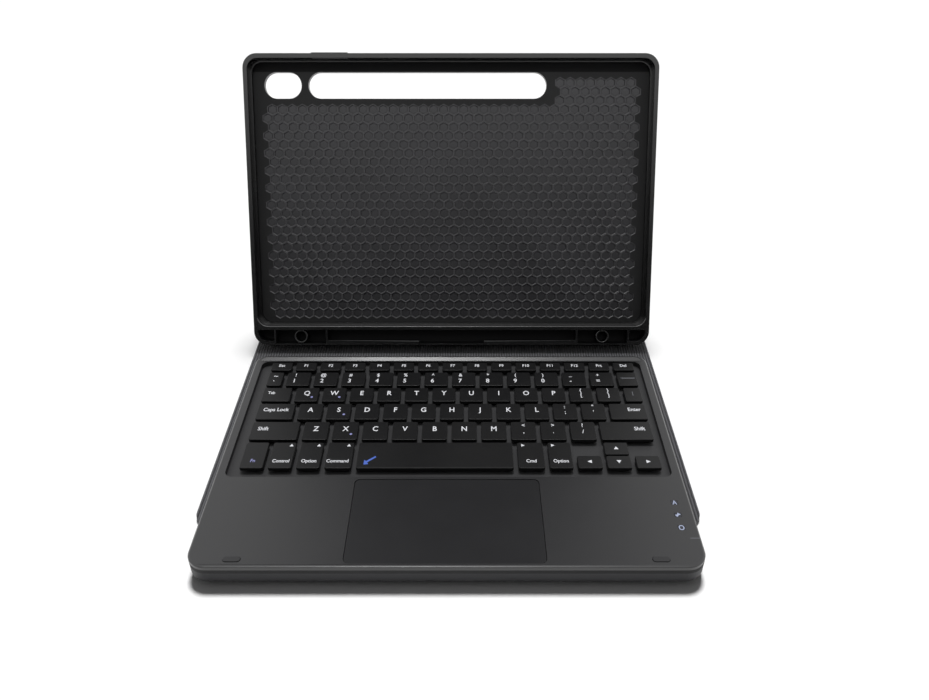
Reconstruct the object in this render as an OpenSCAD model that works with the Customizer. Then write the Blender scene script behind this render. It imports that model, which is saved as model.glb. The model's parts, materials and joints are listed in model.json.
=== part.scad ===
// Keyboard case for an 11 inch class tablet, standing open like a small laptop.
// The origin is the centre of the cover base's underside, +Y runs from the typist
// to the tablet and +Z is up.  All lengths are in millimetres, angles in degrees.

/* [Folding cover] */
// Width of the folding cover
cover_w = 263; // [250:0.5:275]
// Front-to-back depth of the flat base panel
base_depth = 190; // [180:0.5:195]
// Thickness of the base panel and of the spine strip
base_t = 2.6; // [2.4:0.1:3.2]
// Depth of the spine strip between its two creases
spine_depth = 26; // [24:0.5:30]
// Thickness of the stand flap and of the back panel
panel_t = 2; // [1.8:0.1:2.6]
// Radius of the cover's outer corners
cover_corner_r = 9; // [5:0.5:14]
// Height of the flap's fold above the shell's lower edge
fold_height = 56; // [48:0.5:64]
// Flat width left free at each side of a crease
crease_half = 2.2; // [2:0.1:3]
// Thickness of the thin web inside a crease
crease_web_t = 1; // [0.8:0.1:1.2]
// Radius of the fabric bead that lies on a crease line
crease_bead_r = 0.7; // [0.6:0.02:0.76]
// Thickness of the stiff boards inside the panels
board_t = 1; // [0.8:0.1:1.2]
// Width of the board-free hem around a panel
hem = 5; // [3:0.5:8]

/* [Tablet shell] */
// How far the cover stands out beyond the shell at each side
shell_inset = 0.5; // [0.2:0.1:2]
// Thickness of the shell's side walls
side_wall = 2.6; // [2:0.1:4]
// Thickness of the shell's top wall
top_wall = 2.8; // [2:0.1:4]
// Depth of the shell from its rim to its back
shell_t = 12.4; // [11.8:0.1:14]
// Backward lean of the shell from upright
shell_lean = 24.7; // [20:0.1:28]
// Distance of the shell's lower front edge behind the origin
shell_front_y = 60.6; // [58:0.2:64]
// Radius of the shell's outer corners
shell_corner_r = 9; // [6:0.5:11]
// Height of the tablet pocket
pocket_h = 169.8; // [166:0.2:171]
// Lower edge of the pocket above the shell's lower edge
pocket_low = 12.8; // [12.4:0.1:14]
// Radius of the pocket's corners
pocket_corner_r = 7; // [4:0.5:9]
// Depth of the pocket down to the shelf that carries the tablet's edge
shelf_depth = 6.4; // [5.5:0.1:8]
// Width of that shelf
shelf_w = 1.5; // [1:0.1:2.5]
// Thickness of the shell's back wall
back_wall = 1.8; // [1.6:0.1:2.4]
// Width of the camera hole
camera_w = 24; // [22:0.2:30]
// Height of the camera hole and of the pen slot
hole_h = 16.4; // [14:0.2:18]
// Distance from the pocket's side to the centre of the camera hole
camera_inset = 20.5; // [18:0.1:24]
// Length of the pen charging slot
slot_w = 153; // [140:0.5:156]
// Bridge between the camera hole and the pen charging slot
hole_gap = 4.2; // [3:0.1:8]
// Distance from the pocket's top to the centres of both holes
hole_drop = 15.4; // [14:0.1:20]

/* [Pen trough] */
// Width of the corner compartments beyond the outer ribs
corner_bay_w = 10.6; // [9:0.1:12]
// Free height of the trough
trough_h = 9.2; // [8.6:0.1:9.6]
// Thickness of the wall under the trough
trough_floor = 0.8; // [0.8:0.1:1.4]
// Depth of the trough behind the shell's front face
trough_depth = 9.4; // [8.8:0.1:9.6]
// Thickness of the ribs across the trough
trough_rib = 1.2; // [1:0.1:1.8]
// Length of each compartment beside the trough
side_bay_w = 33; // [28:0.2:33]
// Height of the ledge that keeps the pen in
pen_ledge_h = 3.1; // [2:0.1:3.6]
// Thickness of that ledge
pen_ledge_t = 1.4; // [1:0.1:2]
// Width of the finger gap in the middle of the ledge
finger_gap = 43.2; // [30:0.2:60]
// Outer radius of the ring inserts in the side compartments
ring_r = 4.4; // [4:0.1:4.4]
// Wall of the ring inserts
ring_wall = 1; // [0.8:0.1:1.4]
// How far the ring inserts lie behind the shell's front face
ring_recess = 1.2; // [0.6:0.1:2]

/* [Shell button] */
// Length of the button cover in the top wall
button_w = 23.2; // [18:0.2:30]
// Distance from the shell's side to the centre of the button cover
button_inset = 54.6; // [48:0.2:62]
// Front-to-back size of the button cover
button_t = 4.2; // [3:0.1:5]
// How far the button cover stands out of the top edge
button_proud = 0.7; // [0.5:0.1:1.2]
// Gap around the button cover
button_gap = 0.35; // [0.3:0.05:0.5]

/* [Keyboard housing] */
// Width of the lining that shows beside the keyboard
kb_inset = 7.4; // [3:0.1:9]
// Rear edge of the keyboard, behind the origin
kb_rear_y = 40.4; // [36:0.2:42]
// Height of the keyboard's deck above the table
deck_z = 13.6; // [13.4:0.1:15]
// Radius of the front corners
kb_front_r = 10; // [7:0.5:14]
// Radius of the rear corners
kb_rear_r = 7; // [5:0.5:10]
// Thickness of the deck
deck_t = 1.6; // [1.4:0.1:1.8]
// Thickness of the side walls
kb_wall = 1.8; // [1.5:0.1:2.2]
// Thickness of the keyboard's floor
kb_floor = 1.4; // [1.2:0.1:1.6]
// Height of the line where the two housing halves meet
parting_z = 9.4; // [9.2:0.1:9.6]
// Thickness of the rubber feet
foot_t = 0.4; // [0.3:0.05:0.6]

/* [Keys] */
// Width of the deck at the left of the keys
keys_left_margin = 11.7; // [10:0.1:13]
// Width of the deck at the right of the keys
keys_right_margin = 9.5; // [8:0.1:11]
// Gap between two keys of a row
key_gap = 2.6; // [2:0.1:3]
// Gap between two rows
row_gap = 2.4; // [2:0.1:2.8]
// Distance from the keyboard's rear edge to the first row
first_row_inset = 8.7; // [8:0.1:10]
// Depth of the function keys
function_depth = 8; // [7:0.1:9]
// Depth of the number keys
number_depth = 13.4; // [12:0.1:14]
// Depth of the keys of the upper letter row
upper_depth = 13; // [12:0.1:14]
// Depth of the keys of the home row
home_depth = 14.3; // [13:0.1:15]
// Depth of the keys of the lower letter row
lower_depth = 15.5; // [14:0.1:16]
// Depth of the keys of the front row
front_depth = 20.7; // [19:0.1:22]
// Width of the accent key at the left of the numbers
accent_w = 9.1; // [8:0.1:13]
// Width of the backspace key
backspace_w = 12; // [10:0.1:18]
// Width of the tab key
tab_w = 16.9; // [14:0.1:20]
// Width of the backslash key
backslash_w = 10.2; // [9:0.1:16]
// Width of the caps key
caps_w = 21.4; // [18:0.1:25]
// Width of the enter key
enter_w = 21.2; // [18:0.1:25]
// Width of the left shift key
left_shift_w = 27; // [23:0.1:31]
// Width of the right shift key
right_shift_w = 29.2; // [23:0.1:31]
// Width of the narrow keys of the front row
modifier_w = 12.6; // [11:0.1:14]
// Width of the two keys beside the space bar
command_w = 14.3; // [13:0.1:16]
// Width of the arrow keys
arrow_w = 13.2; // [12:0.1:14]
// Gap between the two arrow keys of a pair
arrow_gap = 1.2; // [1:0.1:1.6]
// Height of the key tops above the deck
key_proud = 0.7; // [0.4:0.1:1]
// Thickness of a key cap
cap_t = 2; // [1.8:0.1:2.2]
// Radius of a cap's corners
cap_corner_r = 1.3; // [0.8:0.1:1.8]
// Height of the smaller top step of a cap
cap_step_h = 0.4; // [0.3:0.1:0.6]
// Inset of that step
cap_step_in = 0.35; // [0.2:0.05:0.5]
// Travel of a key
key_travel = 1.4; // [1.2:0.1:1.5]
// Width of a key's plunger
plunger_w = 5; // [4:0.1:6]
// Depth of a key's plunger
plunger_d = 4; // [3:0.1:4.4]
// Gap between a plunger and its guide hole
plunger_gap = 0.25; // [0.2:0.05:0.35]

/* [Key well] */
// Width of the deck beside the key well
well_inset = 4.9; // [4.6:0.1:7]
// Gap behind the first row, to the well's rear wall
well_rear_gap = 2.2; // [2:0.1:3]
// Gap in front of the front row, to the well's front wall
well_front_gap = 6.1; // [5:0.1:6.4]
// Radius of the well's corners
well_corner_r = 4.5; // [3:0.5:6]
// Thickness of the wall around the well
well_wall = 1.2; // [1:0.1:1.2]
// Thickness of the plate that guides the keys
plate_t = 1.2; // [1:0.1:1.2]
// Thickness of the membrane under the plungers
membrane_t = 0.4; // [0.3:0.1:0.5]

/* [Touchpad] */
// Width of the touchpad
pad_w = 96.6; // [90:0.2:104]
// Depth of the touchpad
pad_depth = 56.6; // [50:0.2:57]
// Middle of the touchpad, from the keyboard's middle
pad_x = -0.7; // [-2:0.1:2]
// Width of the deck between the key well and the touchpad
pad_web = 1.9; // [1.6:0.1:4]
// Distance from the keyboard's front edge to the touchpad
pad_front_inset = 2.3; // [2:0.1:2.4]
// Radius of the touchpad's corners
pad_corner_r = 2.8; // [2:0.1:4]
// Gap around the touchpad
pad_gap = 0.25; // [0.2:0.05:0.4]
// Thickness of the touchpad's plate
pad_t = 1.2; // [1:0.1:1.4]
// How far the touchpad lies under the deck
pad_sunk = 0.2; // [0.1:0.05:0.4]
// Tilt of the touchpad when it is pressed
pad_click = 0.5; // [0.3:0.1:0.6]

/* [Small parts] */
// Length of the rubber bumpers on the deck
bumper_w = 8.6; // [7:0.1:10]
// Width of the rubber bumpers
bumper_d = 3.3; // [2.6:0.1:4]
// Distance of the bumpers from the keyboard's sides
bumper_side_inset = 22.1; // [18:0.1:28]
// Distance of the bumpers from the keyboard's front edge
bumper_inset = 4.6; // [4:0.1:6]
// How far the bumpers stand above the deck
bumper_proud = 0.4; // [0.3:0.05:0.6]
// Distance of the indicator windows from the keyboard's side
window_side_inset = 8.2; // [7:0.1:10]
// Width of an indicator window
window_w = 3.4; // [3:0.1:4]
// Depth of an indicator window
window_d = 2.6; // [2:0.1:3]
// Distance from the front edge to the first indicator window
window_inset = 24.7; // [22:0.1:28]
// Spacing of the indicator windows
window_pitch = 8.6; // [7:0.1:10]
// Distance of the power switch from the keyboard's front edge
switch_inset = 17.4; // [16:0.1:19]
// Length of the power switch's knob
switch_w = 3.6; // [3:0.1:4.5]
// Height of the power switch's knob
switch_h = 1.8; // [1.4:0.1:2]
// Travel of the power switch
switch_travel = 2.4; // [2:0.1:3]
// Distance of the charging port from the keyboard's front edge
port_inset = 44; // [38:0.5:60]
// Width of the charging port's mouth
port_w = 8.4; // [8:0.1:9]
// Height of the charging port's mouth
port_h = 2.6; // [2.4:0.1:2.8]
// Wall of the charging port's metal shell
port_wall = 0.3; // [0.2:0.05:0.4]
// Depth of the charging port
port_depth = 7.4; // [6.5:0.1:9]
// Radius of the housing screws' shanks
screw_r = 0.8; // [0.7:0.05:0.9]
// Radius of the housing screws' heads
screw_head_r = 1.6; // [1.4:0.1:1.8]
// Height of the housing screws' heads
screw_head_h = 0.8; // [0.7:0.05:0.8]
// Gap around a screw
screw_gap = 0.05; // [0.02:0.01:0.1]
// Radius of the posts that the screws hold
post_r = 1.6; // [1.4:0.05:1.65]
// How far a screw reaches into the upper housing's post
screw_bite = 2; // [1.4:0.1:2.2]
// Distance of the outer rear screws from the keyboard's sides
rear_screw_inset = 24.1; // [16:0.1:40]
// Distance of the inner rear screws from the middle
inner_screw_x = 30; // [20:0.5:40]
// Distance of the front screws from the touchpad's side
front_screw_gap = 11; // [6:0.1:30]
// Width of a battery cell
cell_w = 27; // [20:0.5:30]
// Depth of a battery cell
cell_depth = 44; // [36:0.5:46]
// Thickness of a battery cell
cell_t = 4; // [3:0.1:4.4]
// Width of the controller board
circuit_w = 50; // [40:0.5:54]
// Depth of the controller board
circuit_depth = 24; // [18:0.5:28]
// Thickness of the controller board
circuit_t = 1; // [0.8:0.1:1.2]
// Side of the chip on the controller board
chip_w = 9; // [5:0.5:10]
// Height of the chip on the controller board
chip_h = 1; // [0.6:0.1:1.4]
// Length of the magnets
magnet_l = 30; // [20:0.5:34]
// Width of the magnets
magnet_w = 5; // [4:0.1:6]
// Thickness of the magnets in the keyboard and the shell
magnet_t = 1.5; // [1:0.1:1.5]
// Distance of the inner magnets from the middle
magnet_x1 = 40; // [36:0.5:44]
// Distance of the outer magnets from the middle
magnet_x2 = 86; // [82:0.5:90]

/* [Gaps] */
// Gap between the shell's resting edge and the base
rest_gap = 0.3; // [0.2:0.05:0.4]
// Gap around pieces that lie in a recess
seat_gap = 0.1; // [0.05:0.05:0.15]
// Gap that a pressed key leaves over the plate
cap_clearance = 0.3; // [0.2:0.05:0.4]
// Gap that a pressed plunger leaves over the membrane
plunger_clearance = 0.3; // [0.2:0.05:0.4]
// Gap that the pressed touchpad leaves over its bracket
click_clearance = 0.4; // [0.3:0.05:0.5]

/* [Hidden] */
$fn = 48;
cut = 1;                       // how far a cutting tool runs past a face
join = 0.02;                   // how far pieces of one solid reach into each other
bond_gap = 0.04;               // film of glue between the shell's frame and its tray

// the folding cover
crease_z = base_t / 2;
spine_rear_y = base_depth / 2 + spine_depth;
skin_t = (base_t - board_t) / 2;
// the shell's own frame starts at its lower front edge: X, depth, height
shell_w = cover_w - 2 * shell_inset;
shell_h = pocket_low + pocket_h + top_wall;
pocket_w = shell_w - 2 * side_wall;
camera_x = camera_inset - pocket_w / 2;
slot_x = camera_x + camera_w / 2 + hole_gap + slot_w / 2;
hole_height = pocket_low + pocket_h - hole_drop;
button_x = button_inset - shell_w / 2;
shell_foot_z = base_t + rest_gap + shell_t * sin(shell_lean);
fold_depth = shell_t + panel_t / 2;
fold_y = shell_front_y + fold_depth * cos(shell_lean) + fold_height * sin(shell_lean);
fold_z = shell_foot_z - fold_depth * sin(shell_lean) + fold_height * cos(shell_lean);
flap_len = sqrt(pow(spine_rear_y - fold_y, 2) + pow(fold_z - crease_z, 2));
flap_lean = atan2(spine_rear_y - fold_y, fold_z - crease_z);
floor_depth = shell_t - back_wall;
trough_mid = trough_floor + trough_h / 2;
corner_bay_x = pocket_w / 2 - corner_bay_w;
bay_x = corner_bay_x - trough_rib - side_bay_w;
trough_w = 2 * (bay_x - trough_rib);
ring_x = bay_x + side_bay_w / 2;
corner_bay_floor = 2.2;
shell_magnet_depth = (trough_depth + shell_t - magnet_t) / 2;

// the keyboard
kb_w = cover_w - 2 * kb_inset;
side_x = kb_w / 2;
kb_z = base_t + foot_t;
depths = [function_depth, number_depth, upper_depth, home_depth, lower_depth, front_depth];
first_row_y = kb_rear_y - first_row_inset;
// front edge of a row
function row_y(r) = first_row_y - depths[r] - (r > 0 ? first_row_y - row_y(r - 1) + row_gap : 0);
well_w = kb_w - 2 * well_inset;
well_rear_y = first_row_y + well_rear_gap;
well_front_y = row_y(5) - well_front_gap;
pad_front_y = well_front_y - pad_web - pad_depth;
kb_front_y = pad_front_y - pad_front_inset;
kb_depth = kb_rear_y - kb_front_y;
cap_top = deck_z + key_proud;
cap_z = cap_top - cap_t;
well_z = cap_z - key_travel - cap_clearance;
plate_z = well_z - plate_t;
plunger_z = plate_z - seat_gap;
membrane_z = plunger_z - key_travel - plunger_clearance - membrane_t;
floor_z = kb_z + kb_floor;
keys_left = keys_left_margin - side_x;
keys_right = side_x - keys_right_margin;
keys_w = keys_right - keys_left;
// width of the plain keys of a row of n between a first and a last key
function plain_w(n, first, last) = (keys_w - first - last - key_gap) / n - key_gap;
// left edge and width of plain key i
function plain_keys(n, first, last, i) =
    [keys_left + first + key_gap + i * (plain_w(n, first, last) + key_gap), plain_w(n, first, last)];
function_count = 15;
function_w = (keys_w + key_gap) / function_count - key_gap;
space_w = keys_w - 4 * modifier_w - 2 * command_w - 3 * arrow_w - 9 * key_gap;
// widths of the front row's keys, left to right; the arrow keys are the last three
front_widths = [modifier_w, modifier_w, modifier_w, command_w, space_w, command_w, modifier_w,
                arrow_w, arrow_w, arrow_w];
function front_left(i) = i == 0 ? keys_left : front_left(i - 1) + front_widths[i - 1] + key_gap;
arrow_depth = (front_depth - arrow_gap) / 2;

// every key as [left edge, front edge, width, depth]
function_keys = [for (i = [0:function_count - 1])
    [keys_left + i * (function_w + key_gap), row_y(0), function_w, depths[0]]];
number_keys = [for (i = [0:11]) let (k = plain_keys(12, accent_w, backspace_w, i))
    [k[0], row_y(1), k[1], depths[1]]];
upper_keys = [for (i = [0:11]) let (k = plain_keys(12, tab_w, backslash_w, i))
    [k[0], row_y(2), k[1], depths[2]]];
home_keys = [for (i = [0:10]) let (k = plain_keys(11, caps_w, enter_w, i))
    [k[0], row_y(3), k[1], depths[3]]];
lower_keys = [for (i = [0:9]) let (k = plain_keys(10, left_shift_w, right_shift_w, i))
    [k[0], row_y(4), k[1], depths[4]]];
front_keys = [for (i = [0:6]) [front_left(i), row_y(5), front_widths[i], depths[5]]];
accent_key = [keys_left, row_y(1), accent_w, depths[1]];
backspace_key = [keys_right - backspace_w, row_y(1), backspace_w, depths[1]];
tab_key = [keys_left, row_y(2), tab_w, depths[2]];
backslash_key = [keys_right - backslash_w, row_y(2), backslash_w, depths[2]];
caps_key = [keys_left, row_y(3), caps_w, depths[3]];
enter_key = [keys_right - enter_w, row_y(3), enter_w, depths[3]];
left_shift_key = [keys_left, row_y(4), left_shift_w, depths[4]];
right_shift_key = [keys_right - right_shift_w, row_y(4), right_shift_w, depths[4]];
arrow_left_key = [front_left(7), row_y(5), arrow_w, arrow_depth];
arrow_down_key = [front_left(8), row_y(5), arrow_w, arrow_depth];
arrow_up_key = [front_left(8), row_y(5) + arrow_depth + arrow_gap, arrow_w, arrow_depth];
arrow_right_key = [front_left(9), row_y(5), arrow_w, arrow_depth];
all_keys = concat(function_keys, number_keys, upper_keys, home_keys, lower_keys, front_keys,
    [accent_key, backspace_key, tab_key, backslash_key, caps_key, enter_key, left_shift_key,
     right_shift_key, arrow_left_key, arrow_down_key, arrow_up_key, arrow_right_key]);
// a wide key has three plungers at these shares of its width, a plain one has one
wide_key = 25;
plunger_shares = [0.14, 0.5, 0.86];
function plunger_x(k) =
    k[2] > wide_key ? [for (s = plunger_shares) k[0] + s * k[2]] : [k[0] + k[2] / 2];

// the touchpad
pad_top = deck_z - pad_sunk;
pad_board_t = 0.8;
pad_drop = pad_depth * sin(pad_click);
bracket_top = pad_top - pad_t - pad_board_t - pad_drop - click_clearance;

// small parts
window_x = side_x - window_side_inset;
bumper_x = side_x - bumper_side_inset;
window_y = [for (i = [0:2]) kb_front_y + window_inset + i * window_pitch];
port_y = kb_front_y + port_inset;
port_mid_z = (kb_z + parting_z) / 2;
switch_y = kb_front_y + switch_inset;
post_margin = kb_wall + post_r + 2 * seat_gap;
rear_post_y = (well_rear_y + well_wall + kb_rear_y - kb_wall) / 2;
front_screw_x = pad_w / 2 - pad_x + front_screw_gap;
rear_screw_x = [inner_screw_x, side_x - rear_screw_inset];
side_screw_inset = [12, 30];
screw_places = [for (s = [-1, 1]) each [
    for (d = side_screw_inset) [s * (side_x - post_margin), kb_front_y + d],
    [s * front_screw_x, kb_front_y + post_margin],
    for (x = rear_screw_x) [s * x, rear_post_y]]];
kb_magnet_inset = 12;
kb_magnet_y = kb_rear_y - kb_magnet_inset;
foot_magnet_y = shell_front_y + trough_depth;
base_magnets = [for (x = [-magnet_x2, -magnet_x1, magnet_x1, magnet_x2], y = [kb_magnet_y, foot_magnet_y])
    [x, y]];

// ---- shared shapes ----

// flat outline, centred on X, from y = 0 to y = d, with its own radii in front and at the rear
module outline(w, d, front_r, rear_r) {
    translate([-w / 2, front_r]) square([w, d - front_r - rear_r]);
    if (front_r > 0) {
        translate([-w / 2 + front_r, 0]) square([w - 2 * front_r, front_r + join]);
        for (s = [-1, 1]) translate([s * (w / 2 - front_r), front_r]) circle(front_r);
    }
    if (rear_r > 0) {
        translate([-w / 2 + rear_r, d - rear_r - join]) square([w - 2 * rear_r, rear_r + join]);
        for (s = [-1, 1]) translate([s * (w / 2 - rear_r), d - rear_r]) circle(rear_r);
    }
}

// flat slot with round ends, centred
module slot_2d(w, h) {
    square([w - h, h], center = true);
    for (s = [-1, 1]) translate([s * (w - h) / 2, 0]) circle(h / 2);
}

// flat outline stood up in the shell's frame, between two depths
module slab(from, to) {
    translate([0, to, 0]) rotate([90, 0, 0]) linear_extrude(to - from) children();
}

// the frame of the leaning shell
module on_shell() {
    translate([0, shell_front_y, shell_foot_z]) rotate([-shell_lean, 0, 0]) children();
}

// the frame of the stand flap: its Z runs from the spine's crease up to the fold
module on_flap() {
    translate([0, spine_rear_y, crease_z]) rotate([flap_lean, 0, 0]) children();
}

// fabric bead along a crease line
module bead() {
    rotate([0, 90, 0]) cylinder(r = crease_bead_r, h = cover_w, center = true);
}

// bar magnet, centred on X and Y, standing on z = 0
module bar_magnet(t) {
    translate([-magnet_l / 2, -magnet_w / 2, 0]) cube([magnet_l, magnet_w, t]);
}

// ---- folding cover ----

// outline of the base panel, square at the crease and round in front
module base_outline(inset) {
    translate([0, -base_depth / 2 + inset])
        outline(cover_w - 2 * inset, base_depth - crease_half - 2 * inset, cover_corner_r, 0);
}

module cover_base_skin() {
    color("#232325") difference() {
        linear_extrude(base_t - skin_t) base_outline(0);
        translate([0, 0, skin_t]) linear_extrude(base_t) base_outline(hem);
    }
}

module cover_base_board() {
    color("#6b675f") difference() {
        translate([0, 0, skin_t]) linear_extrude(board_t) base_outline(hem + seat_gap);
        for (m = base_magnets) translate([m[0], m[1], 0])
            linear_extrude(base_t) square([magnet_l + 2 * seat_gap, magnet_w + 2 * seat_gap], center = true);
    }
}

module cover_base_lining() {
    color("#313135") translate([0, 0, base_t - skin_t]) linear_extrude(skin_t) base_outline(0);
}

module cover_base_magnets() {
    color("#9a9a9c") for (m = base_magnets) translate([m[0], m[1], skin_t]) bar_magnet(board_t);
}

module spine_strip() {
    front_y = base_depth / 2;
    plate = spine_depth - 2 * crease_half;
    color("#232325") difference() {
        union() {
            translate([-cover_w / 2, front_y + crease_half, 0]) cube([cover_w, plate, base_t]);
            translate([-cover_w / 2, front_y, crease_z - crease_web_t / 2])
                cube([cover_w, crease_half + join, crease_web_t]);
            translate([0, front_y, crease_z]) bead();
        }
        translate([-cover_w / 2 + hem, front_y + 2 * crease_half, skin_t])
            cube([cover_w - 2 * hem, plate - 2 * crease_half, board_t]);
    }
}

module spine_board() {
    color("#6b675f") translate([0, base_depth / 2 + spine_depth / 2, skin_t + board_t / 2])
        cube([cover_w - 2 * hem - 2 * seat_gap, spine_depth - 4 * crease_half - 2 * seat_gap,
              board_t - 2 * seat_gap], center = true);
}

module flap_skin() {
    plate = flap_len - 2 * crease_half;
    color("#232325") on_flap() difference() {
        union() {
            translate([-cover_w / 2, -panel_t / 2, crease_half]) cube([cover_w, panel_t, plate]);
            translate([-cover_w / 2, -crease_web_t / 2, 0]) cube([cover_w, crease_web_t, flap_len]);
            bead();
            translate([0, 0, flap_len]) bead();
        }
        translate([-cover_w / 2 + hem, -board_t / 2, crease_half + hem])
            cube([cover_w - 2 * hem, board_t, plate - 2 * hem]);
    }
}

module flap_board() {
    color("#6b675f") on_flap() translate([0, 0, flap_len / 2])
        cube([cover_w - 2 * hem - 2 * seat_gap, board_t - 2 * seat_gap,
              flap_len - 2 * crease_half - 2 * hem - 2 * seat_gap], center = true);
}

// outline of the back panel in the shell's frame, from the fold up to the shell's top
module back_outline(inset) {
    low = fold_height + crease_half + inset;
    translate([0, low]) outline(shell_w - 2 * inset, shell_h - inset - low, 0, shell_corner_r);
}

// the camera hole and the pen slot, grown by a margin
module back_holes(margin) {
    translate([camera_x, hole_height]) slot_2d(camera_w + 2 * margin, hole_h + 2 * margin);
    translate([slot_x, hole_height]) slot_2d(slot_w + 2 * margin, hole_h + 2 * margin);
}

module back_panel_skin() {
    color("#232325") on_shell() difference() {
        slab(shell_t, shell_t + panel_t) back_outline(0);
        slab(shell_t - cut, shell_t + board_t) difference() {
            back_outline(hem);
            back_holes(hem / 2);
        }
        slab(shell_t - cut, shell_t + panel_t + cut) back_holes(0);
    }
}

module back_panel_board() {
    color("#6b675f") on_shell() slab(shell_t, shell_t + board_t) difference() {
        back_outline(hem + seat_gap);
        back_holes(hem / 2 + seat_gap);
    }
}

// ---- tablet shell ----

// outline of the pocket, drawn in by an inset
module pocket_outline(inset) {
    translate([0, pocket_low + inset])
        outline(pocket_w - 2 * inset, pocket_h - 2 * inset, pocket_corner_r, pocket_corner_r);
}

// the bays beside the pen trough, seen from the front
module trough_bays() {
    translate([-trough_w / 2, trough_floor]) square([trough_w, trough_h]);
    for (s = [0, 1]) mirror([s, 0]) {
        translate([bay_x, trough_floor]) square([side_bay_w, trough_h]);
        intersection() {
            translate([corner_bay_x, corner_bay_floor])
                square([shell_w / 2, trough_floor + trough_h - corner_bay_floor]);
            translate([0, side_wall])
                outline(shell_w - 2 * side_wall, shell_h / 2,
                        shell_corner_r - side_wall, shell_corner_r - side_wall);
        }
    }
}

// the soft frame round the pocket and the trough, bonded to the tray behind it
module shell_frame() {
    difference() {
        slab(0, trough_depth - bond_gap) outline(shell_w, shell_h, shell_corner_r, shell_corner_r);
        slab(-cut, shelf_depth) pocket_outline(0);
        slab(-cut, trough_depth) pocket_outline(shelf_w);
        slab(-cut, trough_depth) trough_bays();
        translate([button_x - button_w / 2 - button_gap,
                   shelf_depth / 2 - button_t / 2 - button_gap, pocket_low + pocket_h - cut])
            cube([button_w + 2 * button_gap, button_t + 2 * button_gap, shell_h]);
    }
    // ledges that keep the pen in, open in the middle for a finger
    for (s = [0, 1]) mirror([s, 0, 0])
        translate([finger_gap / 2, 0, 0])
            cube([trough_w / 2 - finger_gap / 2 + join, pen_ledge_t, pen_ledge_h]);
}

// the tray that the tablet's back lies on, with the holes and the magnets' seats
module shell_tray() {
    difference() {
        slab(trough_depth, shell_t) outline(shell_w, shell_h, shell_corner_r, shell_corner_r);
        slab(trough_depth - cut, floor_depth) pocket_outline(shelf_w);
        slab(trough_depth - cut, shell_t + cut) back_holes(0);
        for (x = [-magnet_x2, -magnet_x1, magnet_x1, magnet_x2])
            translate([x, shell_magnet_depth - seat_gap, trough_mid])
                rotate([-90, 0, 0]) linear_extrude(magnet_t + 2 * seat_gap)
                    square([magnet_l + 2 * seat_gap, magnet_w + 2 * seat_gap], center = true);
    }
}

module tablet_shell() {
    color("#2a2a2c") on_shell() {
        shell_frame();
        shell_tray();
    }
}

// cup-shaped ring inserts in the side bays
module trough_rings() {
    color("#2a2a2c") on_shell() for (s = [-1, 1]) translate([s * ring_x, trough_depth, trough_mid])
        rotate([90, 0, 0]) difference() {
            cylinder(r = ring_r, h = trough_depth - ring_recess);
            translate([0, 0, ring_wall]) cylinder(r = ring_r - ring_wall, h = trough_depth);
        }
}

module shell_magnets() {
    color("#9a9a9c") on_shell() for (x = [-magnet_x2, -magnet_x1, magnet_x1, magnet_x2])
        translate([x, shell_magnet_depth, trough_mid]) rotate([-90, 0, 0]) bar_magnet(magnet_t);
}

module shell_button_cover() {
    wall_z = pocket_low + pocket_h;
    color("#3a3a3c") on_shell()
        translate([button_x - button_w / 2, shelf_depth / 2 - button_t / 2, wall_z])
            cube([button_w, button_t, shell_h - wall_z + button_proud]);
}

// ---- keyboard ----

module kb_outline(inset) {
    translate([0, kb_front_y + inset])
        outline(kb_w - 2 * inset, kb_depth - 2 * inset, kb_front_r - inset, kb_rear_r - inset);
}

// the well's opening, grown by a margin
module well_outline(margin) {
    translate([0, well_front_y - margin])
        outline(well_w + 2 * margin, well_rear_y - well_front_y + 2 * margin,
                well_corner_r + margin, well_corner_r + margin);
}

// the touchpad's outline, grown by a margin
module pad_outline(margin) {
    translate([pad_x, pad_front_y - margin])
        outline(pad_w + 2 * margin, pad_depth + 2 * margin, pad_corner_r + margin, pad_corner_r + margin);
}

module keyboard_top_housing() {
    color("#38393c") {
        difference() {
            translate([0, 0, parting_z]) linear_extrude(deck_z - parting_z) kb_outline(0);
            translate([0, 0, parting_z - cut]) linear_extrude(deck_z - deck_t - parting_z + cut)
                kb_outline(kb_wall);
            translate([0, 0, parting_z]) linear_extrude(deck_z) well_outline(0);
            translate([0, 0, parting_z]) linear_extrude(deck_z) pad_outline(pad_gap);
            for (y = window_y) translate([window_x, y, parting_z]) linear_extrude(deck_z)
                square([window_w + 2 * seat_gap, window_d + 2 * seat_gap], center = true);
            for (s = [-1, 1]) translate([s * bumper_x, kb_front_y + bumper_inset, deck_z - deck_t / 2])
                linear_extrude(deck_t) slot_2d(bumper_w + 2 * seat_gap, bumper_d + 2 * seat_gap);
        }
        // wall around the key well
        translate([0, 0, well_z]) linear_extrude(deck_z - deck_t / 2 - well_z) difference() {
            well_outline(well_wall);
            well_outline(0);
        }
        // posts for the screws
        for (p = screw_places) translate([p[0], p[1], parting_z]) difference() {
            cylinder(r = post_r, h = deck_z - deck_t / 2 - parting_z);
            translate([0, 0, -cut]) cylinder(r = screw_r + screw_gap, h = cut + screw_bite + 2 * seat_gap);
        }
    }
}

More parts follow.
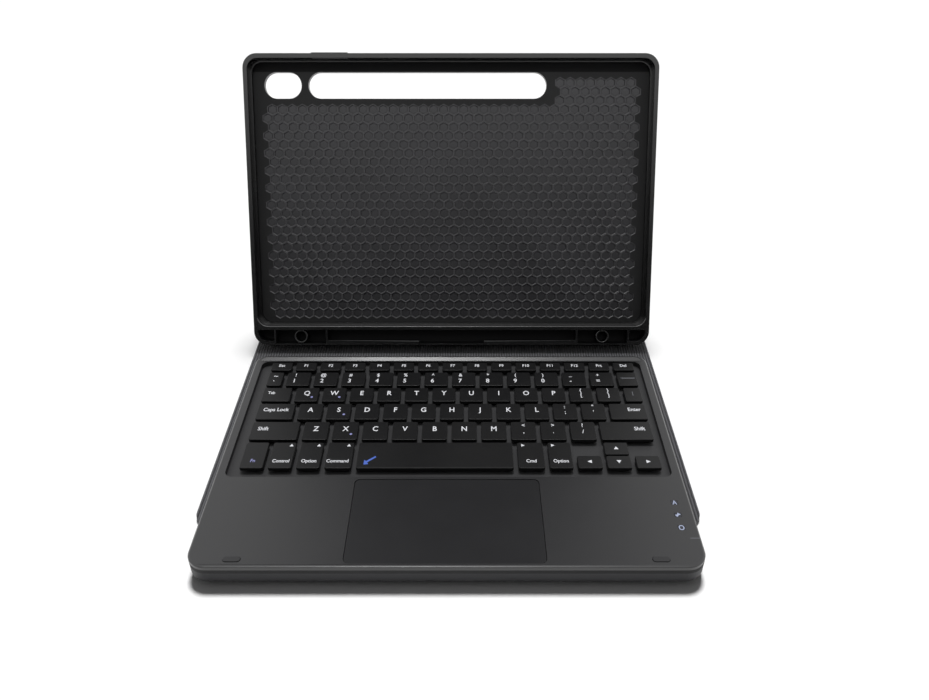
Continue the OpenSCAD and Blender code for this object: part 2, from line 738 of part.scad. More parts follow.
module keyboard_bottom_housing() {
    rib_top = membrane_z - floor_z;
    color("#2c2d30") {
        difference() {
            translate([0, 0, kb_z]) linear_extrude(parting_z - kb_z) kb_outline(0);
            translate([0, 0, floor_z]) linear_extrude(parting_z) kb_outline(kb_wall);
            for (p = screw_places) translate([p[0], p[1], kb_z - cut]) {
                cylinder(r = screw_r + screw_gap, h = cut + kb_floor + cut);
                cylinder(r = screw_head_r + screw_gap, h = cut + screw_head_h);
            }
            // mouth of the charging port
            translate([side_x - kb_wall - cut, port_y, port_mid_z]) rotate([90, 0, 90])
                linear_extrude(kb_wall + 2 * cut)
                    slot_2d(port_w + 2 * port_wall + 2 * seat_gap, port_h + 2 * port_wall + 2 * seat_gap);
            // slot of the power switch
            translate([side_x - kb_wall - cut, switch_y - switch_w / 2 - seat_gap,
                       port_mid_z - switch_h / 2 - seat_gap])
                cube([kb_wall + 2 * cut, switch_w + switch_travel + 2 * seat_gap,
                      switch_h + 2 * seat_gap]);
        }
        // ribs that carry the membrane
        for (r = [0:5]) translate([-well_w / 2, row_y(r) - row_gap / 2 - kb_wall / 2, floor_z - join])
            cube([well_w, kb_wall, rib_top + join]);
        // posts under the upper housing's posts
        for (p = screw_places) translate([p[0], p[1], floor_z - join]) difference() {
            cylinder(r = post_r, h = parting_z - floor_z + join);
            translate([0, 0, -cut]) cylinder(r = screw_r + screw_gap, h = parting_z);
        }
    }
}

module key_support_plate() {
    color("#38393c") translate([0, 0, plate_z]) linear_extrude(plate_t) difference() {
        well_outline(well_wall);
        for (k = all_keys, x = plunger_x(k)) translate([x, k[1] + k[3] / 2])
            square([plunger_w + 2 * plunger_gap, plunger_d + 2 * plunger_gap], center = true);
    }
}

module key_membrane() {
    color("#5a6b62") translate([0, 0, membrane_z]) linear_extrude(membrane_t) well_outline(0);
}

module touchpad_plate() {
    color("#303134") translate([0, 0, pad_top - pad_t]) linear_extrude(pad_t) pad_outline(0);
}

module touchpad_board() {
    color("#2e5a3a") translate([0, 0, pad_top - pad_t - pad_board_t]) linear_extrude(pad_board_t)
        translate([pad_x, pad_front_y + hem]) outline(pad_w - 2 * hem, pad_depth - 2 * hem, 0, 0);
}

// frame on the floor with the click switch under the touchpad's front edge
module touchpad_bracket() {
    switch_size = 6;
    switch_proud = 1;
    color("#8c8f93") {
        translate([pad_x - pad_w / 2 + hem, pad_front_y + hem, floor_z])
            cube([pad_w - 2 * hem, kb_wall, bracket_top - floor_z - switch_proud]);
        translate([pad_x - switch_size / 2, pad_front_y + hem, floor_z])
            cube([switch_size, switch_size, bracket_top - floor_z]);
    }
}

module battery_pack() {
    first_x = -side_x + 2 * post_margin;
    color("#4a6a8c") for (i = [0, 1])
        translate([first_x + i * (cell_w + 10 * seat_gap), pad_front_y + hem, floor_z])
            cube([cell_w, cell_depth, cell_t]);
}

module controller_board() {
    right_x = side_x - 2 * port_depth;
    color("#2e5a3a") translate([right_x - circuit_w, port_y - circuit_depth / 2, floor_z]) {
        cube([circuit_w, circuit_depth, circuit_t]);
        translate([circuit_w / 2 - chip_w / 2, circuit_depth / 2 - chip_w / 2, circuit_t - join])
            cube([chip_w, chip_w, chip_h]);
    }
}

// knob in the side wall's slot, on a slider that is too tall to come out of it
module power_switch() {
    slider_t = 1.2;
    slider_extra = 0.6;
    slider_x = side_x - kb_wall - 2 * seat_gap - slider_t;
    knob_proud = 0.6;
    color("#515256") translate([slider_x, switch_y - switch_w / 2, port_mid_z - switch_h / 2]) {
        cube([side_x + knob_proud - slider_x, switch_w, switch_h]);
        translate([0, -slider_t, -slider_extra])
            cube([slider_t, switch_w + slider_t, switch_h + 2 * slider_extra]);
    }
}

module charging_port() {
    tongue = [6.4, 0.7, 5.6];
    color("#9b9da0") translate([side_x - port_depth, port_y, port_mid_z]) rotate([90, 0, 90]) {
        linear_extrude(port_depth) difference() {
            slot_2d(port_w + 2 * port_wall, port_h + 2 * port_wall);
            slot_2d(port_w, port_h);
        }
        linear_extrude(port_wall) slot_2d(port_w + port_wall, port_h + port_wall);
        translate([-tongue[0] / 2, -tongue[1] / 2, 0]) cube(tongue);
    }
}

module indicator_windows() {
    color("#9fb4e6") for (y = window_y) translate([window_x, y, deck_z - deck_t])
        linear_extrude(deck_t) square([window_w, window_d], center = true);
}

module deck_bumpers() {
    color("#1c1c1d") for (s = [-1, 1])
        translate([s * bumper_x, kb_front_y + bumper_inset, deck_z - deck_t / 2])
            linear_extrude(deck_t / 2 + bumper_proud) slot_2d(bumper_w, bumper_d);
}

module keyboard_feet() {
    foot_w = 22;
    foot_d = 5;
    foot_x = side_x - rear_screw_inset;
    front_inset = 46;
    rear_inset = 26;
    color("#1c1c1d") for (x = [-foot_x, foot_x], y = [kb_front_y + front_inset, kb_rear_y - rear_inset])
        translate([x, y, base_t]) linear_extrude(foot_t) slot_2d(foot_w, foot_d);
}

module housing_screws() {
    color("#7d7f82") for (p = screw_places) translate([p[0], p[1], kb_z]) {
        cylinder(r = screw_head_r, h = screw_head_h);
        cylinder(r = screw_r, h = parting_z + screw_bite - kb_z);
    }
}

module keyboard_magnets() {
    color("#9a9a9c") for (x = [-magnet_x2, -magnet_x1, magnet_x1, magnet_x2])
        translate([x, kb_magnet_y, floor_z]) bar_magnet(magnet_t);
}

// ---- keys ----

// the corners of a rectangle as [right, rear, start angle of the corner's arc]
key_corners = [[1, 1, 0], [0, 1, 90], [0, 0, 180], [1, 0, 270]];
corner_arc = [0:30:90];

// points of a rectangle with rounded corners of radius r
function round_corners(x0, y0, w, d, r) = [for (c = key_corners, a = corner_arc)
    [x0 + (c[0] == 1 ? w - r : r) + r * cos(c[2] + a), y0 + (c[1] == 1 ? d - r : r) + r * sin(c[2] + a)]];

// one key: cap, smaller top step and plungers
module key(k) {
    color("#202022") {
        translate([0, 0, cap_z]) linear_extrude(cap_t - cap_step_h)
            polygon(round_corners(k[0], k[1], k[2], k[3], cap_corner_r));
        translate([0, 0, cap_top - cap_step_h - join]) linear_extrude(cap_step_h + join)
            polygon(round_corners(k[0] + cap_step_in, k[1] + cap_step_in, k[2] - 2 * cap_step_in,
                                  k[3] - 2 * cap_step_in, cap_corner_r - cap_step_in));
        for (x = plunger_x(k)) translate([x - plunger_w / 2, k[1] + k[3] / 2 - plunger_d / 2, plunger_z])
            cube([plunger_w, plunger_d, cap_z + join - plunger_z]);
    }
}

module keys(list, from, to) {
    for (i = [from:to]) key(list[i]);
}

module key_escape() key(function_keys[0]);
module function_keys_left() keys(function_keys, 1, 7);
module function_keys_right() keys(function_keys, 8, 14);
module key_accent() key(accent_key);
module number_keys_left() keys(number_keys, 0, 5);
module number_keys_right() keys(number_keys, 6, 11);
module key_backspace() key(backspace_key);
module key_tab() key(tab_key);
module upper_letters_left() keys(upper_keys, 0, 5);
module upper_letters_right() keys(upper_keys, 6, 11);
module key_backslash() key(backslash_key);
module key_caps() key(caps_key);
module home_letters_left() keys(home_keys, 0, 5);
module home_letters_right() keys(home_keys, 6, 10);
module key_enter() key(enter_key);
module key_shift_left() key(left_shift_key);
module lower_letters_left() keys(lower_keys, 0, 4);
module lower_letters_right() keys(lower_keys, 5, 9);
module key_shift_right() key(right_shift_key);
module key_fn() key(front_keys[0]);
module key_control() key(front_keys[1]);
module key_option_left() key(front_keys[2]);
module key_command_left() key(front_keys[3]);
module key_space() key(front_keys[4]);
module key_command_right() key(front_keys[5]);
module key_option_right() key(front_keys[6]);
module key_arrow_left() key(arrow_left_key);
module key_arrow_up() key(arrow_up_key);
module key_arrow_down() key(arrow_down_key);
module key_arrow_right() key(arrow_right_key);

cover_base_skin();
cover_base_board();
cover_base_lining();
cover_base_magnets();
spine_strip();
spine_board();
flap_skin();
flap_board();
back_panel_skin();
back_panel_board();
tablet_shell();
trough_rings();
shell_magnets();
shell_button_cover();
keyboard_top_housing();
keyboard_bottom_housing();
key_support_plate();
key_membrane();
touchpad_plate();
touchpad_board();
touchpad_bracket();
battery_pack();
controller_board();
power_switch();
charging_port();
indicator_windows();
deck_bumpers();
keyboard_feet();
housing_screws();
keyboard_magnets();
key_escape();
function_keys_left();
function_keys_right();
key_accent();
number_keys_left();
number_keys_right();
key_backspace();
key_tab();
upper_letters_left();
upper_letters_right();
key_backslash();
key_caps();
home_letters_left();
home_letters_right();
key_enter();
key_shift_left();
lower_letters_left();
lower_letters_right();
key_shift_right();
key_fn();
key_control();
key_option_left();
key_command_left();
key_space();
key_command_right();
key_option_right();
key_arrow_left();
key_arrow_up();
key_arrow_down();
key_arrow_right();
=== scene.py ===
import json
import math
import bpy
import bmesh
from mathutils import Matrix, Vector

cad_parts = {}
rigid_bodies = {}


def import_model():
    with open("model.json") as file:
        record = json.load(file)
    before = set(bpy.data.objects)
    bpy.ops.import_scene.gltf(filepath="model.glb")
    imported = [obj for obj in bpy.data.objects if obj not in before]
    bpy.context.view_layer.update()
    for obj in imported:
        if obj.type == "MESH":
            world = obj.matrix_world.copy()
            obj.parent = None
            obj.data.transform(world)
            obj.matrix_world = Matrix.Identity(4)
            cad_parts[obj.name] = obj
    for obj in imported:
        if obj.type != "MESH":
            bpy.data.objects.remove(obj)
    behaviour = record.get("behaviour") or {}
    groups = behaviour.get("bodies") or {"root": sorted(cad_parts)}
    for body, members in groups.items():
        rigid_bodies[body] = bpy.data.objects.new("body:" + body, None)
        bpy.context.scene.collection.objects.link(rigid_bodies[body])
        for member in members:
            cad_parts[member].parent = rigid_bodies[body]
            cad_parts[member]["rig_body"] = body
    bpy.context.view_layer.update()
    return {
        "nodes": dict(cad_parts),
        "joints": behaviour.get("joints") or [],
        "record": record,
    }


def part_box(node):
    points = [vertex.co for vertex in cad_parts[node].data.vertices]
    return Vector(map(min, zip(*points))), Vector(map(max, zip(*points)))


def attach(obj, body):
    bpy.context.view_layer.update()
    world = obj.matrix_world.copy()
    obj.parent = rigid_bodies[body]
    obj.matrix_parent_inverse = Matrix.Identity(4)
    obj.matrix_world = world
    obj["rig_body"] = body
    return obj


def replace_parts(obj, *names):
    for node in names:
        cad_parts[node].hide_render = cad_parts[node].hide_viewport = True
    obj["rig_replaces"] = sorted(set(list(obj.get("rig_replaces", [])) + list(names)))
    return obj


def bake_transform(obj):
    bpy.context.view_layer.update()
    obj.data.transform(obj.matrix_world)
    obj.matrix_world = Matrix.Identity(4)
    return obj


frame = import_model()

mm = 0.001
mergeGap = 0.001 * mm  # points nearer than this are one point
closeBy = 0.02 * mm  # what is nearer than this to a plane lies in it
sharpTurn = math.radians(60)  # edges that turn by more than this are corners, not roundings
flatTurn = math.radians(1)  # faces that turn by less than this are one face
nearlyAll, nearlyNone = 0.9, 0.1  # shares of an edge's length or of a normal
nodes = frame["nodes"]


# selecting and small steps that every piece uses

def deselectAll():
    if bpy.context.mode != "OBJECT":
        bpy.ops.object.mode_set(mode="OBJECT")
    bpy.ops.object.select_all(action="DESELECT")


def pick(*pieces):
    deselectAll()
    for piece in pieces:
        piece.select_set(True)
    bpy.context.view_layer.objects.active = pieces[0]


def edit(piece, kind="FACE", action="DESELECT"):
    pick(piece)
    bpy.ops.object.mode_set(mode="EDIT")
    bpy.ops.mesh.select_mode(type=kind)
    bpy.ops.mesh.select_all(action=action)


def selectParts(piece, kind, wanted):
    edit(piece, kind)
    work = bmesh.from_edit_mesh(piece.data)
    for part in (work.faces if kind == "FACE" else work.edges):
        part.select_set(bool(wanted(part)))
    bmesh.update_edit_mesh(piece.data)


def selectFaces(piece, wanted):
    selectParts(piece, "FACE", wanted)


def selectEdges(piece, wanted):
    selectParts(piece, "EDGE", wanted)


def middle(edge):
    return (edge.verts[0].co + edge.verts[1].co) / 2


def isUpright(edge):
    return abs(edge.verts[0].co.z - edge.verts[1].co.z) > nearlyAll * edge.calc_length()


def facesUp(face):
    return face.normal.z > nearlyAll


def isWall(face, height=0.0):
    heights = [point.co.z for point in face.verts]
    return abs(face.normal.z) < nearlyNone and max(heights) - min(heights) > height


def bevelPicked(width, segments, points=False, clamp=True, profile=0.5):
    bpy.ops.mesh.bevel(offset=width, offset_type="OFFSET", segments=segments, profile=profile,
                       affect="VERTICES" if points else "EDGES", clamp_overlap=clamp)


def applyPlace(piece):
    pick(piece)
    bpy.ops.object.transform_apply(location=True, rotation=True, scale=True)


def addObject(name, data):
    piece = bpy.data.objects.new(name, data)
    bpy.context.scene.collection.objects.link(piece)
    return piece


def named(name):
    piece = bpy.context.object
    piece.name = name
    piece.data.name = name
    return piece


def addBlock(name, centre, size):
    deselectAll()
    bpy.ops.mesh.primitive_cube_add(size=1, location=centre, scale=size)
    piece = named(name)
    applyPlace(piece)
    return piece


def joined(name, pieces):
    pick(*pieces)
    if len(pieces) > 1:
        bpy.ops.object.join()
    return named(name)


def useModifier(piece, kind, **values):
    pick(piece)
    modifier = piece.modifiers.new(kind.title(), kind)
    for key, value in values.items():
        setattr(modifier, key, value)
    bpy.ops.object.modifier_apply(modifier=modifier.name)


def softenEdges(piece, width, segments=2, angle=38):
    useModifier(piece, "BEVEL", width=width, segments=segments, limit_method="ANGLE",
                angle_limit=math.radians(angle), use_clamp_overlap=True)


def smooth(piece, angle=32):
    pick(piece)
    bpy.ops.object.shade_smooth_by_angle(angle=math.radians(angle))
    useModifier(piece, "WEIGHTED_NORMAL", keep_sharp=True, weight=100)


def mergePoints(piece):  # loose triangles become whole faces
    edit(piece, "VERT", "SELECT")
    bpy.ops.mesh.remove_doubles(threshold=mergeGap)
    bpy.ops.mesh.dissolve_limited(angle_limit=flatTurn)
    deselectAll()


def copyOfNode(name, nodeName):
    piece = addObject(name, nodes[nodeName].data.copy())
    piece.data.name = name
    piece.data.materials.clear()
    mergePoints(piece)
    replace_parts(piece, nodeName)
    return piece


def widestParts(name, count=1):
    # splits the piece being edited and keeps its widest loose parts, narrowest first
    bpy.ops.mesh.separate(type="LOOSE")
    deselectAll()
    parts = sorted([piece for piece in bpy.data.objects if piece.name.startswith(name)],
                   key=lambda piece: piece.dimensions.x)
    for piece in parts[:-count]:
        bpy.data.objects.remove(piece)
    return parts[-count:]


def place(piece, body, slotName, material=None):
    applyPlace(piece)
    piece.data.materials.clear()
    piece.data.materials.append(material or finishes[slotName])
    if body:
        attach(piece, body)


def finishPiece(piece, rounding, body, slotName, material=None, segments=2, angle=32):
    softenEdges(piece, rounding * mm, segments)
    smooth(piece, angle)
    place(piece, body, slotName, material)


def paintFaces(piece, materials, choice):
    for material in materials:
        piece.data.materials.append(material)
    for face in piece.data.polygons:
        face.material_index = int(choice(face))


# shared shader groups

def tone(red, green, blue):
    def linear(value):
        share = value / 255
        return share / 12.92 if share <= 0.04045 else ((share + 0.055) / 1.055) ** 2.4
    return (linear(red), linear(green), linear(blue), 1)


def newGroup(name, inputs, outputs):
    group = bpy.data.node_groups.new(name, "ShaderNodeTree")
    for label, kind, value in inputs:
        socket = group.interface.new_socket(name=label, in_out="INPUT", socket_type=kind)
        if value is not None:
            socket.default_value = value
    for label in outputs:
        group.interface.new_socket(name=label, in_out="OUTPUT", socket_type="NodeSocketFloat")
    return group, group.nodes.new("NodeGroupInput"), group.nodes.new("NodeGroupOutput")


def mathNode(tree, operation, first, second=None, clamp=False):
    node = tree.nodes.new("ShaderNodeMath")
    node.operation = operation
    node.use_clamp = clamp
    for index, value in enumerate((first, second)):
        if value is None:
            continue
        if isinstance(value, (int, float)):
            node.inputs[index].default_value = value
        else:
            tree.links.new(value, node.inputs[index])
    return node.outputs[0]


def times(tree, first, second, clamp=False):
    return mathNode(tree, "MULTIPLY", first, second, clamp)


def noiseNode(group, start, detail=2.0, factor=1.0):  # factor makes it finer or coarser
    node = group.nodes.new("ShaderNodeTexNoise")
    node.inputs["Detail"].default_value = detail
    group.links.new(start.outputs["Vector"], node.inputs["Vector"])
    group.links.new(times(group, start.outputs["Scale"], factor), node.inputs["Scale"])
    return node.outputs[0]


def rising(group, value, begin, slope):  # 0 up to begin, then rising to 1
    return times(group, mathNode(group, "SUBTRACT", value, begin), slope, True)


def setInputs(node, values):
    for label, value in values.items():
        node.inputs[label].default_value = value


vectorAndScale = [("Vector", "NodeSocketVector", None), ("Scale", "NodeSocketFloat", 1000.0)]
# each noise is given by its detail and its share of the scale, each rise by begin and slope
patternLook = {"coarse": (1.0, 0.35), "coarseHeight": 0.6, "grainPatches": (3.0, 0.012),
               "crease": 5.0, "pebbleWander": (3.0, 0.3), "wanderHeight": 0.7,
               "pebblePatches": (3.0, 0.02), "patchRise": (0.3, 2.2), "ribWander": (2.0, 0.35),
               "ribBend": 0.35, "twist": 2.2, "twistHeight": 0.16, "wearRise": (0.54, 10.0),
               "dustRise": (0.42, 3.0)}


def buildGrainGroup():  # fine spark-eroded texture of moulded plastic
    group, start, end = newGroup("mouldedGrain", vectorAndScale, ["Height", "Mask"])
    fine = noiseNode(group, start)
    coarse = times(group, noiseNode(group, start, *patternLook["coarse"]),
                   patternLook["coarseHeight"])
    patches = noiseNode(group, start, *patternLook["grainPatches"])
    group.links.new(mathNode(group, "ADD", fine, coarse), end.inputs["Height"])
    group.links.new(rising(group, patches, *patternLook["patchRise"]), end.inputs["Mask"])
    return group


def buildPebbleGroup():  # rolled leatherette grain
    group, start, end = newGroup("leatherPebble", vectorAndScale, ["Height", "Mask"])
    cells = group.nodes.new("ShaderNodeTexVoronoi")
    cells.feature = "DISTANCE_TO_EDGE"
    for label in ("Vector", "Scale"):
        group.links.new(start.outputs[label], cells.inputs[label])
    creases = times(group, cells.outputs["Distance"], patternLook["crease"], True)
    wander = times(group, noiseNode(group, start, *patternLook["pebbleWander"]),
                   patternLook["wanderHeight"])
    patches = noiseNode(group, start, *patternLook["pebblePatches"])
    group.links.new(mathNode(group, "ADD", creases, wander), end.inputs["Height"])
    group.links.new(rising(group, patches, *patternLook["patchRise"]), end.inputs["Mask"])
    return group


def buildRibGroup():  # woven ribs that run front to back, scale is ribs per metre
    group, start, end = newGroup("ribbedWeave", vectorAndScale, ["Height", "Mask"])
    parts = group.nodes.new("ShaderNodeSeparateXYZ")
    group.links.new(start.outputs["Vector"], parts.inputs[0])
    wander = times(group, noiseNode(group, start, *patternLook["ribWander"]),
                   patternLook["ribBend"])
    across = times(group, parts.outputs["X"], start.outputs["Scale"])
    across = mathNode(group, "ADD", across, wander)
    rib = mathNode(group, "SINE", times(group, across, 2 * math.pi))
    rib = times(group, mathNode(group, "ADD", rib, 1.0), 0.5)
    along = times(group, parts.outputs["Y"], start.outputs["Scale"])
    slant = mathNode(group, "ADD", times(group, along, patternLook["twist"]), across)
    twist = mathNode(group, "SINE", times(group, slant, 2 * math.pi))
    twist = times(group, twist, patternLook["twistHeight"])
    group.links.new(mathNode(group, "ADD", rib, twist), end.inputs["Height"])
    # the colour follows the ribs' height: painted shade in the valleys and painted highlight on
    # the crests
    group.links.new(rib, end.inputs["Mask"])
    return group


def buildWearAndHighlightGroup():  # edges that hands and pockets wear down, on the honeycomb also a painted highlight of its ridges
    group, start, end = newGroup("edgeWear", vectorAndScale, ["Mask"])
    shape = group.nodes.new("ShaderNodeNewGeometry")
    edges = rising(group, shape.outputs["Pointiness"], *patternLook["wearRise"])
    uneven = noiseNode(group, start, 3.0)
    group.links.new(times(group, edges, uneven, True), end.inputs["Mask"])
    return group


def buildDustGroup():  # a thin veil that settles on what faces up
    group, start, end = newGroup("dustVeil", vectorAndScale, ["Mask"])
    shape = group.nodes.new("ShaderNodeNewGeometry")
    parts = group.nodes.new("ShaderNodeSeparateXYZ")
    group.links.new(shape.outputs["Normal"], parts.inputs[0])
    upward = times(group, parts.outputs["Z"], 1.0, True)
    veil = rising(group, noiseNode(group, start, 4.0), *patternLook["dustRise"])
    group.links.new(times(group, upward, veil, True), end.inputs["Mask"])
    return group


groups = {"grain": buildGrainGroup(), "pebble": buildPebbleGroup(), "ribs": buildRibGroup(),
          "wear": buildWearAndHighlightGroup(), "dust": buildDustGroup()}
ageLook = {"wearScale": 60.0, "dustScale": 14.0, "dustColour": (150, 148, 145)}


def groupNode(tree, kind, vector, scale):
    node = tree.nodes.new("ShaderNodeGroup")
    node.node_tree = groups[kind]
    tree.links.new(vector, node.inputs["Vector"])
    node.inputs["Scale"].default_value = scale
    return node


def mixColour(tree, factor, first, second):
    node = tree.nodes.new("ShaderNodeMix")
    node.data_type = "RGBA"
    tree.links.new(factor, node.inputs["Factor"])
    for socket, value in zip(node.inputs[6:8], (first, second)):  # the two colour sockets
        if isinstance(value, tuple):
            socket.default_value = value
        else:
            tree.links.new(value, socket)
    return node.outputs[2]


def spread(tree, factor, low, high):
    node = tree.nodes.new("ShaderNodeMapRange")
    tree.links.new(factor, node.inputs["Value"])
    setInputs(node, {"To Min": low, "To Max": high})
    return node.outputs["Result"]


def finish(name, colour, rough, pattern="grain", scale=2600.0, second=None, bump=0.12,
           depth=0.05, wornAndLit=None, dust=0.0, metallic=0.0, specular=0.5, sheen=0.0, coat=0.0,
           glow=0.0):
    material = bpy.data.materials.new(name)
    material.use_nodes = True
    tree = material.node_tree
    shader = tree.nodes["Principled BSDF"]
    spot = tree.nodes.new("ShaderNodeTexCoord").outputs["Object"]
    surface = groupNode(tree, pattern, spot, scale)
    paint = mixColour(tree, surface.outputs["Mask"], tone(*colour), tone(*(second or colour)))
    # lighter on sharp edges: wear, and on the honeycomb a painted highlight of its ridges
    if wornAndLit:
        rubbedAndLit = groupNode(tree, "wear", spot, ageLook["wearScale"])
        paint = mixColour(tree, rubbedAndLit.outputs["Mask"], paint, tone(*wornAndLit))
    if dust:
        veil = groupNode(tree, "dust", spot, ageLook["dustScale"])
        amount = times(tree, veil.outputs["Mask"], dust)
        paint = mixColour(tree, amount, paint, tone(*ageLook["dustColour"]))
    tree.links.new(paint, shader.inputs["Base Color"])
    tree.links.new(spread(tree, surface.outputs["Mask"], *rough), shader.inputs["Roughness"])
    relief = tree.nodes.new("ShaderNodeBump")
    setInputs(relief, {"Strength": bump, "Distance": depth * mm})
    tree.links.new(surface.outputs["Height"], relief.inputs["Height"])
    tree.links.new(relief.outputs["Normal"], shader.inputs["Normal"])
    setInputs(shader, {"Metallic": metallic, "Specular IOR Level": specular,
                       "Sheen Weight": sheen, "Coat Weight": coat})
    if glow:
        setInputs(shader, {"Emission Color": tone(*colour), "Emission Strength": glow})
    return material


def makeInk(name, colour, second, glow=0.0):
    return finish(name, colour, (0.5, 0.6), second=second, bump=0.03, glow=glow)


ribPitch = 1.7
finishes = {
    "cover_skin": finish("leatherette", (33, 33, 35), (0.52, 0.66), "pebble", 1500.0,
                         (38, 38, 40), 0.5, 0.06, dust=0.04),
    "fibre_board": finish("fibreBoard", (107, 103, 95), (0.8, 0.95), "grain", 1800.0,
                          (122, 117, 106), 0.3, 0.08),
    # dark and light tones laid by rib height: painted shade and highlight of the ribs
    "ribbed_lining": finish("ribbedLining", (22, 22, 24), (0.66, 0.8), "ribs",
                            1 / (ribPitch * mm), (92, 92, 96), 1.0, 0.5, sheen=0.25,
                            dust=0.04),
    "magnet": finish("platedMagnet", (154, 154, 156), (0.25, 0.4), metallic=1.0),
    "soft_shell": finish("softShell", (6, 6, 7), (0.22, 0.28), scale=2200.0,
                         second=(9, 9, 10), bump=0.08, specular=1.0),
    "soft_button": finish("softButton", (38, 38, 40), (0.5, 0.6), second=(44, 44, 46)),
    "deck_plastic": finish("satinDeck", (20, 20, 22), (0.28, 0.31), scale=3200.0,
                           second=(22, 22, 24), bump=0.08, specular=0.88),
    "housing_plastic": finish("lowerHousing", (42, 42, 45), (0.5, 0.6), scale=2400.0,
                              second=(48, 48, 51), bump=0.2),
    "plate_plastic": finish("keyPlate", (44, 44, 45), (0.5, 0.6), second=(49, 49, 50)),
    "membrane_film": finish("membraneFilm", (90, 107, 98), (0.3, 0.45), second=(98, 114, 104)),
    "touchpad_surface": finish("touchpadSurface", (19, 19, 21), (0.31, 0.34), scale=4200.0,
                               second=(21, 21, 23), bump=0.06),
    "circuit_board": finish("circuitBoard", (32, 72, 44), (0.35, 0.5), "grain", 700.0,
                            (60, 96, 56), 0.2, coat=0.4),
    "sheet_steel": finish("sheetSteel", (150, 152, 156), (0.3, 0.45), metallic=1.0,
                          second=(134, 136, 140)),
    "battery_foil": finish("batteryFoil", (120, 124, 132), (0.25, 0.5), "grain", 420.0,
                           (142, 146, 152), 0.3, 0.1, metallic=0.8),
    "switch_plastic": finish("switchKnob", (70, 70, 74), (0.45, 0.55), second=(76, 76, 80)),
    "port_metal": finish("portShell", (168, 170, 173), (0.2, 0.35), metallic=1.0,
                         second=(150, 152, 156)),
    "light_window": finish("lightWindow", (40, 41, 46), (0.2, 0.3), second=(44, 46, 54),
                           bump=0.02),
    "soft_rubber": finish("softRubber", (24, 24, 25), (0.66, 0.8), scale=1600.0,
                          second=(31, 31, 32), bump=0.25),
    "screw_steel": finish("screwSteel", (120, 122, 126), (0.28, 0.42), metallic=1.0,
                          second=(104, 106, 110)),
    "key_cap": finish("keyCap", (11, 11, 12), (0.34, 0.4), scale=3000.0,
                      second=(14, 14, 15), bump=0.1, dust=0.01, specular=0.36),
}
inkWhite = makeInk("legendWhite", (226, 227, 231), (214, 215, 220))
inkDim = makeInk("legendGrey", (112, 113, 118), (102, 103, 108))
# the blue and lilac inks glow a little: a painted glow, as print gives no light
inkBlue = makeInk("legendBlue", (70, 96, 176), (84, 108, 186), 0.1)
inkLilac = makeInk("legendLilac", (142, 144, 190), (130, 132, 180), 0.06)
lampWhite = finish("indicatorWhite", (162, 170, 192), (0.4, 0.5), second=(150, 158, 184),
                   bump=0.03, glow=0.15)
# the honeycomb's ridges are lighter by the edge mask: wear, and a painted highlight where the
# ridges catch the light
padTone = finish("honeycombRubber", (27, 26, 31), (0.31, 0.38), scale=2200.0,
                 second=(32, 31, 37), bump=0.1, wornAndLit=(66, 65, 72), specular=0.9)
marginTone = finish("pocketMargin", (20, 20, 21), (0.5, 0.6), scale=2200.0,
                    second=(24, 24, 25), bump=0.12, specular=0.35, dust=0.02)
# painted shade: a near-black matte finish laid where shade falls, on the strip under the pocket's
# top wall, inside the trough and inside the rings
paintedShadeTone = finish("pocketShade", (9, 9, 10), (0.55, 0.65), scale=2200.0,
                   second=(12, 12, 13), bump=0.12, specular=0.15)
lipTone = finish("polishedLip", (26, 26, 29), (0.22, 0.25), scale=3200.0,
                 second=(28, 28, 31), bump=0.05, specular=0.95)
bumperTone = finish("bumperRubber", (20, 20, 22), (0.34, 0.4), scale=1600.0,
                    second=(24, 24, 26), bump=0.1, specular=0.66)
print("materials", len(bpy.data.materials))


# the folding cover

coverLook = {"cover_base_skin": ("cover_base", "cover_skin", 0.55),  # body, finish and rounding
             "cover_base_lining": ("cover_base", "ribbed_lining", 0.3),
             "spine_strip": ("spine", "cover_skin", 0.45),
             "flap_skin": ("flap", "cover_skin", 0.45),
             "back_panel_skin": ("shell", "cover_skin", 0.45)}

for nodeName, (body, slotName, rounding) in coverLook.items():
    finishPiece(copyOfNode("soft_" + nodeName, nodeName), rounding, body, slotName)
print("folding cover")


# the leatherette that bends at each crease, as one strip across it

foldLook = {"thickness": 1.5, "reach": 4.6, "overhang": 0.25, "steps": 10, "edge": 0.3,
            "sag": 0.35, "thinning": 0.22, "blendShare": 0.45, "smoothAngle": 40}
hinges = {joint["name"]: Vector(joint["pos_m"]) for joint in frame["joints"][:3]}
backFold, flapCrease = hinges["back_fold"], hinges["flap_crease"]
flapWay = (backFold - flapCrease).normalized()
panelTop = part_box("back_panel_board")[1]
panelWay = Vector((0, panelTop.y - backFold.y, panelTop.z - backFold.z)).normalized()
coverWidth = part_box("cover_base_skin")[1].x * 2


